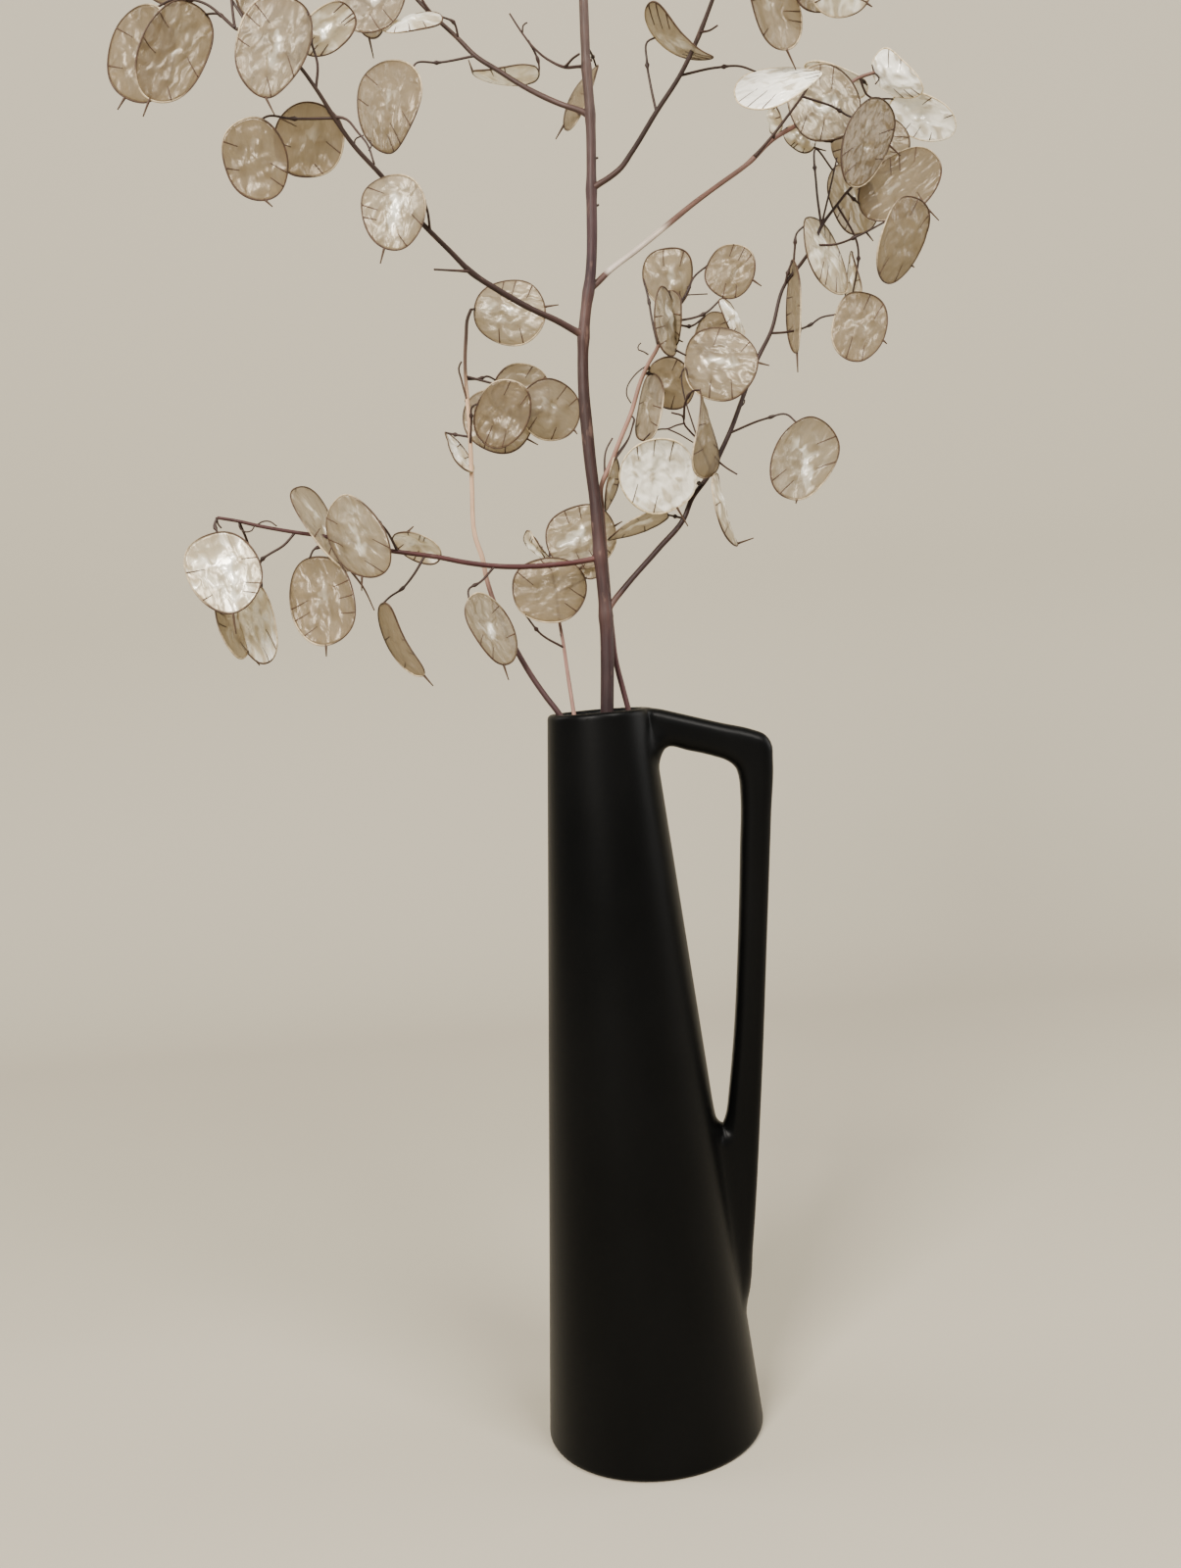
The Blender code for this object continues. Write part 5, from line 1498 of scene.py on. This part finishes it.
# %% [markdown]
# ## Dry stems and rims
#
# A dry stem is streaked along its length, duller than the pods, and has a few paler patches
# where the skin has lifted. A wave pattern in space would cut across its bends, but noise on
# the stored places, drawn out along the stem, follows them. A rim is mottled, and otherwise
# plain. Both take their colour from what their meshes store.

# %% The stems' and the rims' finish
PALE_PATCH = paint(146, 118, 104)
STEM_SPECULAR = 0.22
RIM_ROUGHNESS = 0.6
RIM_SPECULAR = 0.25


def make_stem_finish(name, smooth, rough):
    """Dry stem skin: its stops of colour, with lighter and darker streaks along it."""
    material, tree, shader, _ = new_material(name)
    place = stored(tree, "place", "Vector")
    streak = noise_on(tree, place, (1400.0, 1400.0, 60.0), 1.0, 4.0, 0.6)
    patch = noise_on(tree, place, (300.0, 300.0, 110.0), 1.0, 3.0)
    skin = blend_colours(tree, "MULTIPLY", 1.0, stored(tree, "tint", "Color"),
                         fade_on(tree, streak, (0.3, 0.31), (0.55, 0.48), (0.78, 0.74)))
    skin = blend_colours(tree, "MIX", fade_on(tree, patch, (0.62, 0.0), (0.74, 0.22)), skin, PALE_PATCH)
    tree.links.new(skin, shader.inputs["Base Color"])
    tree.links.new(fade_on(tree, patch, (0.3, smooth), (0.7, rough)), shader.inputs["Roughness"])
    tree.links.new(bump_on(tree, streak, 0.5, 0.0004), shader.inputs["Normal"])
    shader.inputs["Specular IOR Level"].default_value = STEM_SPECULAR
    return material


def make_rim_finish():
    """Dry brown rim, mottled along its length."""
    material, tree, shader, _ = new_material("dry brown rim")
    mottle = noise_on(tree, stored(tree, "place", "Vector"), (500.0, 500.0, 1.0), 1.0, 3.0)
    skin = blend_colours(tree, "MULTIPLY", 1.0, stored(tree, "tint", "Color"),
                         fade_on(tree, mottle, (0.3, 0.6), (0.7, 1.35)))
    tree.links.new(skin, shader.inputs["Base Color"])
    shader.inputs["Roughness"].default_value = RIM_ROUGHNESS
    shader.inputs["Specular IOR Level"].default_value = RIM_SPECULAR
    return material


# %% [markdown]
# ## The jug in its glaze
#
# The helpers above only say how. Now the net is laid over the clay and gets its glaze, and the
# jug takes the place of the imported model's vase.

# %% Make the jug
make_jug(make_glaze())

# %% [markdown]
# ## Dressing the sprays
#
# Each spray has one mesh for its stem, branches and pod stalks, which stands for the packed
# solid. Its pods are gathered by branch, the sheets in one mesh and the rims, seed stalks and
# styles in another. Each pod has one of six tones, from an almost white pearl to a thin brown
# skin. The tones are partly the pods' own, as no two have aged alike, and partly painted light:
# the white ones stand in for pods lit through and pods that face the lamps, and some of the
# brown ones for pods in shade.

# %% Which pods are pale, and which group each is in
# Each tone is the thin skin's colour, how pearly it is all over, and how much more in its middle
TONES = {
    # The white tone is painted light: the glow of pods lit through and the sheen of pods that face the lamps
    "white_and_lit": (paint(255, 252, 240), (0.86, 0.14)),
    "cream": (paint(238, 229, 206), (0.42, 0.30)),
    "silver": (paint(220, 211, 189), (0.26, 0.30)),
    "pearl": (paint(178, 167, 146), (0.08, 0.34)),
    "plain": (paint(170, 158, 138), (0.02, 0.28)),
    # The brown tone is partly a thin brown skin and partly painted shade
    "brown": (paint(154, 140, 118), (-0.04, 0.22)),
}
POD_TONES = {
    # These pods' whiteness is painted light: some are lit through, some face the lamps
    "white_and_lit": ("low_h", "far_l2", "far_m1", "far_m2", "high_k"),
    "cream": ("high_f", "high_h", "mid_6", "arm_2", "arm_6", "high_tr1", "far_s", "far_edge",
              "side_6", "stem_4", "stem_4b"),
    "silver": ("high_d", "low_b", "low_c", "low_g", "arm_1"),
    "pearl": ("left_e", "arm_2b", "arm_4", "arm_5", "arm_8", "low_e", "low_i", "side_1", "stem_1",
              "far_l", "far_q", "high_j", "mid_3", "mid_3b"),
    # Brown here is partly the pods' own skin and partly painted shade, as on the dark pods high on the left
    "brown": ("high_a", "high_b", "high_g", "high_i", "left_f", "left_g", "far_n", "far_o", "far_p",
              "low_a", "low_d", "low_f", "mid_2", "mid_5", "mid_7", "arm_3", "arm_7", "side_3",
              "stem_3"),
}
TONE_OF = {pod: TONES[tone] for tone, pods in POD_TONES.items() for pod in pods}
GROUP_OF = {
    "main_spray": "top", "top_left": "top", "top_fork": "top", "bare_twig": "top",
    "low_right_fork": "low_right", "low_right_twig": "low_right", "pale_right_fork": "pale_right",
}
# A rim's dark and its worn pale colour. A white pod's rim is pale nearly all over, partly worn and partly
# painted light, as the pod is lit through.
RIM_SHADES = (paint(66, 50, 38), paint(190, 172, 140))
WORN_AND_LIT_RIM_SHADES = (paint(190, 172, 138), paint(232, 224, 202))
STALK_BROWN = paint(70, 53, 41)
PEDICEL_BROWN = paint(70, 52, 46)


for tone, pods in POD_TONES.items():
    print(f"{tone}: {len(pods)} pods")

# %% [markdown]
# ## Hanging the pods
#
# A rule could scatter the pods over the branches, but these hang where the photograph shows
# them. A pod's stalk starts on its branch, at the branch's depth there, and drifts evenly to
# the depth of the pod's edge. A long stalk gets its joint. The draws for tint and joint come
# from a seed of the pod's own, so that a change to one pod leaves the others as they are.

# %% Hang every pod that the photograph shows
SHEET_SEED = 1000
SHADE_SEED = 2000
SHADES = (0.93, 1.05)
RIM_HOLD = 0.985
JOINTED_LENGTH = 0.007
JOINT_PLACES = (0.50, 0.66)


class Dressing:
    """The meshes being gathered: a bundle for each group of sheets, of rims and of stems."""

    def __init__(self):
        """No bundles yet: each is made when its first piece comes."""
        self.sheets, self.rims, self.stems = {}, {}, {}

    def group(self, store, name):
        """The bundle of a group, a new one for a new group."""
        return store.setdefault(name, Bundle())

    def dress(self, group, sheet, tint, pearl, rim_shades):
        """Adds a pod's sheet, rim and seed stalks, and gives back the bundle of the rims."""
        add_sheet(self.group(self.sheets, group), sheet, tint, pearl)
        rims = self.group(self.rims, group)
        add_rim(rims, sheet, *rim_shades)
        add_stalks(rims, sheet, STALK_BROWN)
        return rims


def hang_pod(dressing, index, name, pod):
    """One pod with its rim, seed stalks, stalk and style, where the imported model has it. Gives
    back the pod's length."""
    route, depths, spray = ROUTES[pod.branch]
    fork, root_depth = nearest_on(route, depths, pod.pedicel[0])
    frame = frame_pod(pod, root_depth + pod.off, random.Random(index))
    sheet = Sheet(frame, pod, edge_angle(pod, pod.base), SHEET_SEED + index)
    rng = np.random.default_rng(SHADE_SEED + index)
    tint, pearl = TONE_OF.get(name, TONES["plain"])
    # White pods take pale rims: partly worn, partly painted light
    rim_shades = WORN_AND_LIT_RIM_SHADES if name in POD_TONES["white_and_lit"] else RIM_SHADES
    group = GROUP_OF.get(pod.branch, pod.branch)
    rims = dressing.dress(group, sheet, tint * rng.uniform(*SHADES), pearl, rim_shades)
    joint = sheet.point(RIM_HOLD, edge_angle(pod, pod.base))
    pixels = np.vstack((fork, *pod.pedicel[1:], pod.base))
    drift = (joint[1] / MM - root_depth) * lengths_along(pixels)[:-1]
    points = np.vstack((seen(pixels[:-1], root_depth + drift), joint))
    length = np.linalg.norm(np.diff(points, axis=0), axis=1).sum()
    bump = rng.uniform(*JOINT_PLACES) if length > JOINTED_LENGTH else None
    add_thin(dressing.group(dressing.stems, spray), points, PEDICEL_RADII, PEDICEL_BROWN, bump)
    if pod.style:
        start = sheet.point(RIM_HOLD, edge_angle(pod, pod.style[0]))
        rest = seen(pod.style[1:], np.full(len(pod.style) - 1, start[1] / MM))
        add_thin(rims, np.vstack((start, rest)), STYLE_RADII, STALK_BROWN)
    return 2 * sheet.long


# %% [markdown]
# ## Hooks and curls
#
# Where a pod has fallen off, its bare stalk stays behind as a hook, a curl or a loop. They are
# small, but the eye knows dried honesty by them. Each follows its own pixels at its branch's
# depth, drifts a little to the front or back as it goes, and narrows to its end.

# %% Bare hooks and curls, and all pods
STUB_SEED = 6000
STUB_DRIFT = 1.5
STUB_ROOT = 1.25

# Each has its branch, its pixels and the radius of its end in millimetres
STUBS = [
    ("left_arm", [(243.8, 534), (244.8, 539), (250.6, 542.8), (257.3, 541), (259.7, 536)], 0.30),
    ("left_arm", [(262.2, 536), (267, 532.6), (274.7, 532), (282.5, 537)], 0.30),
    ("left_arm", [(221.6, 528.3), (222, 534), (226, 539)], 0.35),
    ("bare_twig", [(533, 34), (534.5, 25), (538, 23)], 0.35),
    ("high_left", [(362, 149), (362, 143), (371, 138)], 0.30),
    ("high_left_loop", [(377, 143), (379, 149), (376, 154)], 0.28),
    ("right_spray", [(661.6, 362), (656, 358.5), (651, 356.5), (651.5, 352.5), (654, 350)], 0.28),
    ("right_spray", [(660.5, 373), (654, 377), (645, 386), (639.6, 396), (639.6, 403.8),
                     (644, 411.5)], 0.28),
    ("right_spray", [(643.5, 424), (647, 427), (645, 436), (641.4, 447.4), (634, 460), (628.8, 467),
                     (614, 492)], 0.36),
    ("low_right_twig", [(698, 432), (690, 434), (681, 437.6), (673.3, 438), (663, 442.5),
                        (657, 449)], 0.34),
    ("low_right_twig", [(681, 437.6), (693, 443), (707.4, 451.6)], 0.32),
    ("low_right_twig", [(712.4, 449.6), (706, 430), (701, 414.4), (697, 398), (695.5, 385), (697, 377),
                        (699, 375), (702, 383), (706, 391), (712, 397.6)], 0.32),
    ("low_right", [(754, 416), (758, 413), (760, 408.8), (758, 407)], 0.32),
    ("short_spray", [(574, 654), (572, 647)], 0.40),
    ("main_spray", [(603.8, 163), (610, 161)], 0.50),
    ("main_spray", [(603.2, 212), (611, 209)], 0.50),
    ("main_spray", [(598.2, 64), (604, 61)], 0.60),
    ("pale_right", [(892, 74), (890, 66), (894, 60), (899, 64), (896, 71)], 0.34),
    ("pale_right", [(892, 74), (897, 80), (893, 86)], 0.34),
    ("right_spray", [(674, 343), (690, 322), (699, 302), (711, 300.5), (722, 300)], 0.28),
]


def add_stub(dressing, index, branch, pixels, radius):
    """A bare hook or curl, at its branch's depth, that drifts a little as it goes."""
    route, depths, spray = ROUTES[branch]
    _, depth = nearest_on(route, depths, pixels[0])
    drift = np.random.default_rng(STUB_SEED + index).uniform(-STUB_DRIFT, STUB_DRIFT)
    add_thin(dressing.group(dressing.stems, spray), seen(pixels, depth + drift * lengths_along(pixels)),
             (STUB_ROOT * radius * MM, radius * MM), PEDICEL_BROWN)


dressing = Dressing()
for index, stub in enumerate(STUBS):
    add_stub(dressing, index, *stub)
lengths = [hang_pod(dressing, index, name, pod) for index, (name, pod) in enumerate(PODS.items())]
print(len(lengths), "pods hung in", len(dressing.sheets), "groups,",
      f"{min(lengths) / MM:.0f} to {max(lengths) / MM:.0f} mm long")

# %% [markdown]
# ## The crown
#
# The photograph's top edge cuts the arrangement off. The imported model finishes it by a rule
# with seeded draws: short branches round the main stem's last stretch, each with an elbow and
# two pods on its outer half, and three pods on the end of each branch that is cut off. This
# lesson repeats the same draws in the same order, so that each dressed pod lies on its solid.

# %% Pods past the photograph's edge
CROWN_SEED = 41
CROWN_STRETCH = 0.22
CROWN_BRANCHES = 6
CROWN_LENGTHS = (0.078, 0.030)
CROWN_RADII = (0.0008, 0.0005)
CROWN_ELBOW_OUT = 0.45
CROWN_ELBOW_UP = 0.30
CROWN_TIP_UP = 0.85
CROWN_POD_SHARES = (0.35, 1.0)
CROWN_FIRST_TURN = 0.6
CROWN_TURN = np.radians(137.5)
CROWN_LEADER_WAY = np.array((0.4, -0.3, 0.0))
CUT_OFF_BRANCHES = ("top_left", "high_right")
CUT_OFF_PODS = 3
CUT_OFF_SPLAY = 1.5
CROWN_POD_LENGTH = (0.036, 0.043)
CROWN_POD_RATIO = (1.22, 1.45)
CROWN_POD_SWING = 0.55
ARCH_OUT = 0.011
ARCH_UP = 0.005
KNEE_OUT = 0.004
KNEE_DOWN = 0.001
CROWN_STYLE = (0.009, 0.002)
CROWN_SHEET_SEED = 3000
CROWN_SHADE_SEED = 4000
CROWN_PEARL = (0.0, 2.0)
CROWN_SHADES = (0.9, 1.06)
CROWN_JOINT = 0.4
END_POD_FIRST = 50
END_POD_STRIDE = 10

PLAIN_POD = Pod("", (0, 0), (0, 0), 2.0)


def hang_free_pod(dressing, group, index, joint, way_out, rng):
    """A pod of the crown on an arched stalk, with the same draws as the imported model's."""
    length = rng.uniform(*CROWN_POD_LENGTH)
    width = length / rng.uniform(*CROWN_POD_RATIO)
    out = unit(np.array((way_out[0], way_out[1], 0.0)))
    top = joint + out * ARCH_OUT + UP * ARCH_UP
    knee = top + out * KNEE_OUT - UP * KNEE_DOWN
    down = unit(out * rng.uniform(0.0, CROWN_POD_SWING) - UP)
    facing = rng.uniform(0, np.pi)
    side = unit(np.cross(down, (np.cos(facing), np.sin(facing), 0.0)))
    frame = PodFrame(knee + down * length / 2, down * length / 2, side * width / 2,
                     np.cross(down, side), *bend(rng))
    sheet = Sheet(frame, PLAIN_POD, np.pi, CROWN_SHEET_SEED + index)
    draws = np.random.default_rng(CROWN_SHADE_SEED + index)
    tint, pearl = TONES["plain"]
    pearl = (pearl[0] * draws.uniform(*CROWN_PEARL), pearl[1])
    rims = dressing.dress(group, sheet, tint * draws.uniform(*CROWN_SHADES), pearl, RIM_SHADES)
    start, tip = sheet.point(RIM_HOLD, np.pi), sheet.point(RIM_HOLD, 0.0)
    add_thin(dressing.group(dressing.stems, "main_spray"), np.vstack((joint, top, start)),
             PEDICEL_RADII, PEDICEL_BROWN, CROWN_JOINT)
    style = tip + down * CROWN_STYLE[0] + side * CROWN_STYLE[1]
    add_thin(rims, np.vstack((tip, style)), STYLE_RADII, STALK_BROWN)


def along_polyline(points, share):
    """The point at a share of a polyline's length."""
    shares = lengths_along(points)
    return np.array([np.interp(share, shares, points[:, axis]) for axis in range(3)])


def add_crown(dressing):
    """Short branches round the main stem's last stretch, each with an elbow and two pods."""
    rng = random.Random(CROWN_SEED)
    route, depths, _ = ROUTES["main_spray"]
    stem = seen(route, depths)
    stems = dressing.group(dressing.stems, "main_spray")
    count = 0
    for index in range(CROWN_BRANCHES):
        share = (index + 0.5) / CROWN_BRANCHES
        root = along_polyline(stem, 1.0 - CROWN_STRETCH * (1.0 - share))
        turn = CROWN_TURN * index + CROWN_FIRST_TURN
        out = np.array((np.cos(turn), np.sin(turn), 0.0))
        length = between(CROWN_LENGTHS, share)
        elbow = root + (out * CROWN_ELBOW_OUT + UP * CROWN_ELBOW_UP) * length
        tip = root + (out + UP * CROWN_TIP_UP) * length
        add_thin(stems, np.vstack((root, elbow, tip)), CROWN_RADII, paint(*TWIG_SHADE))
        for pod_share in CROWN_POD_SHARES:
            joint = elbow + (tip - elbow) * pod_share
            aside = np.cross(out, UP) * rng.choice((-1, 1)) * (1.0 - pod_share)
            hang_free_pod(dressing, "crown", count, joint, out + aside, rng)
            count += 1
    leader = stem[-1] - stem[-4] + CROWN_LEADER_WAY
    hang_free_pod(dressing, "crown", count, stem[-1], leader, rng)


def add_end_pods(dressing):
    """Pods on the ends of the two branches that leave the photograph at its top."""
    rng = random.Random(CROWN_SEED + 1)
    for order, branch in enumerate(CUT_OFF_BRANCHES):
        route, depths, _ = ROUTES[branch]
        points = seen(route, depths)
        ahead = unit(points[-1] - points[-CUT_OFF_PODS])
        for index in range(CUT_OFF_PODS):
            aside = unit(np.cross(ahead, UP)) * (1 - index) * CUT_OFF_SPLAY
            hang_free_pod(dressing, GROUP_OF.get(branch, branch),
                          END_POD_FIRST + END_POD_STRIDE * order + index,
                          points[-1 - index], ahead + aside, rng)


add_crown(dressing)
add_end_pods(dressing)
top = seen(*ROUTES["main_spray"][:2])[-1]
print(f"the main stem ends {top[2]:.3f} m up, with {CROWN_BRANCHES} short branches round it")

# %% [markdown]
# ## Stems last, then every mesh
#
# The stems and branches join the pod stalks in their spray's bundle. Then each bundle becomes
# one mesh. A stem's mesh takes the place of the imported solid, and the pods, which ride along,
# are pieces of their own because they have other finishes.

# %% Stems, branches and all meshes
STEM_SEED = 500
MAIN_STEP = 0.0025
BRANCH_STEP = 0.0018
PLUM_ROUGHNESS = (0.42, 0.62)
STRAW_ROUGHNESS = (0.50, 0.68)

for order, name in enumerate([*STEMS, *BRANCHES]):
    sides, step = (MAIN_SIDES, MAIN_STEP) if name == "main_spray" else (BRANCH_SIDES, BRANCH_STEP)
    stems = dressing.group(dressing.stems, ROUTES[name][2])
    add_stem(stems, name, sides, step, STEM_SEED + order)

skin = make_pod_finish()
rim_skin = make_rim_finish()
plum = make_stem_finish("plum-brown stem", *PLUM_ROUGHNESS)
straw = make_stem_finish("straw stem", *STRAW_ROUGHNESS)
for name, bundle in dressing.stems.items():
    pale = name == "left_spray"
    made = bundle.make("stem_" + name, straw if pale else plum, "straw_stem" if pale else "plum_stem")
    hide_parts(name)
for name, bundle in dressing.sheets.items():
    bundle.make("pods_" + name, skin, "pod_paper")
for name, bundle in dressing.rims.items():
    bundle.make("rims_" + name, rim_skin, "pod_rim")

# %% [markdown]
# ## Floor and light
#
# The floor is a pale warm sheet that curves up behind the object, so that no line crosses the
# picture. Two weak lights stand at the sides and edge the glaze and the leaning pods. A strong
# soft light from the front left and one from high on the right light the pods' faces, and a
# pale room fills the shadows. All are large, because a small light would make hard shadows and
# harsh glints on the sheets.

# %% Floor, wall and lights
FLOOR_FRONT = -2.5
FLOOR_BACK = 0.75
BEND_RADIUS = 0.45
BEND_STEPS = 24
FLOOR_HALF_WIDTH = 3.0
WALL_TOP = 3.2
BACKDROP_COLOUR = (0.39, 0.355, 0.282, 1.0)
ROOM_COLOUR = (0.80, 0.82, 0.85, 1.0)
ROOM_STRENGTH = 0.35

# Each light has its place, what it is turned to, its size, its power and its colour
LIGHTS = {
    "left": ((-2.0, 0.3, 1.7), (0.0, 0.0, 0.45), 1.3, 30.0, (1.0, 0.97, 0.91)),
    "right": ((2.2, 0.2, 1.0), (0.0, 0.0, 0.40), 1.3, 30.0, (1.0, 0.98, 0.95)),
    "front": ((-0.75, -1.8, 1.6), (0.0, 0.0, 0.60), 0.8, 116.0, (1.0, 0.95, 0.88)),
    "above": ((0.9, -1.2, 2.1), (0.0, 0.0, 0.60), 0.9, 70.0, (1.0, 0.96, 0.90)),
}


def make_backdrop():
    """A profile of floor, quarter circle and wall, carried sideways."""
    turn = np.linspace(0.0, np.pi / 2, BEND_STEPS)
    curve = (FLOOR_BACK + BEND_RADIUS * np.sin(turn), BEND_RADIUS * (1 - np.cos(turn)))
    ends = [(FLOOR_FRONT, 0.0)], [(FLOOR_BACK + BEND_RADIUS, WALL_TOP)]
    profile = np.vstack((ends[0], np.stack(curve, axis=1), ends[1]))
    across = np.array((-FLOOR_HALF_WIDTH, FLOOR_HALF_WIDTH))[:, None]
    points = np.stack(np.broadcast_arrays(across, profile[None, :, 0], profile[None, :, 1]), axis=-1)
    count = len(profile)
    first = np.arange(count - 1)
    quads = np.stack((first, first + count, first + count + 1, first + 1), axis=1)
    backdrop = mesh_object("backdrop", points.reshape(-1, 3), quads, np.zeros((0, 3), int))
    material, _, shader, _ = new_material("pale backdrop")
    shader.inputs["Base Color"].default_value = BACKDROP_COLOUR
    shader.inputs["Roughness"].default_value = 0.85
    shader.inputs["Specular IOR Level"].default_value = 0.1
    backdrop.data.materials.append(material)


def add_light(name, spot, aim, size, power, colour):
    """A square soft light at a spot, turned to its aim."""
    data = bpy.data.lights.new(name, "AREA")
    data.size = size
    data.energy = power
    data.color = colour
    light = bpy.data.objects.new(name, data)
    bpy.context.scene.collection.objects.link(light)
    light.location = spot
    light.rotation_euler = (Vector(aim) - Vector(spot)).to_track_quat("-Z", "Y").to_euler()


make_backdrop()
for name, light in LIGHTS.items():
    add_light(name, *light)
world = bpy.data.worlds.new("soft room")
world.use_nodes = True
background = world.node_tree.nodes["Background"]
background.inputs["Color"].default_value = ROOM_COLOUR
background.inputs["Strength"].default_value = ROOM_STRENGTH
bpy.context.scene.world = world
print(len(LIGHTS), "soft lights and a pale room")
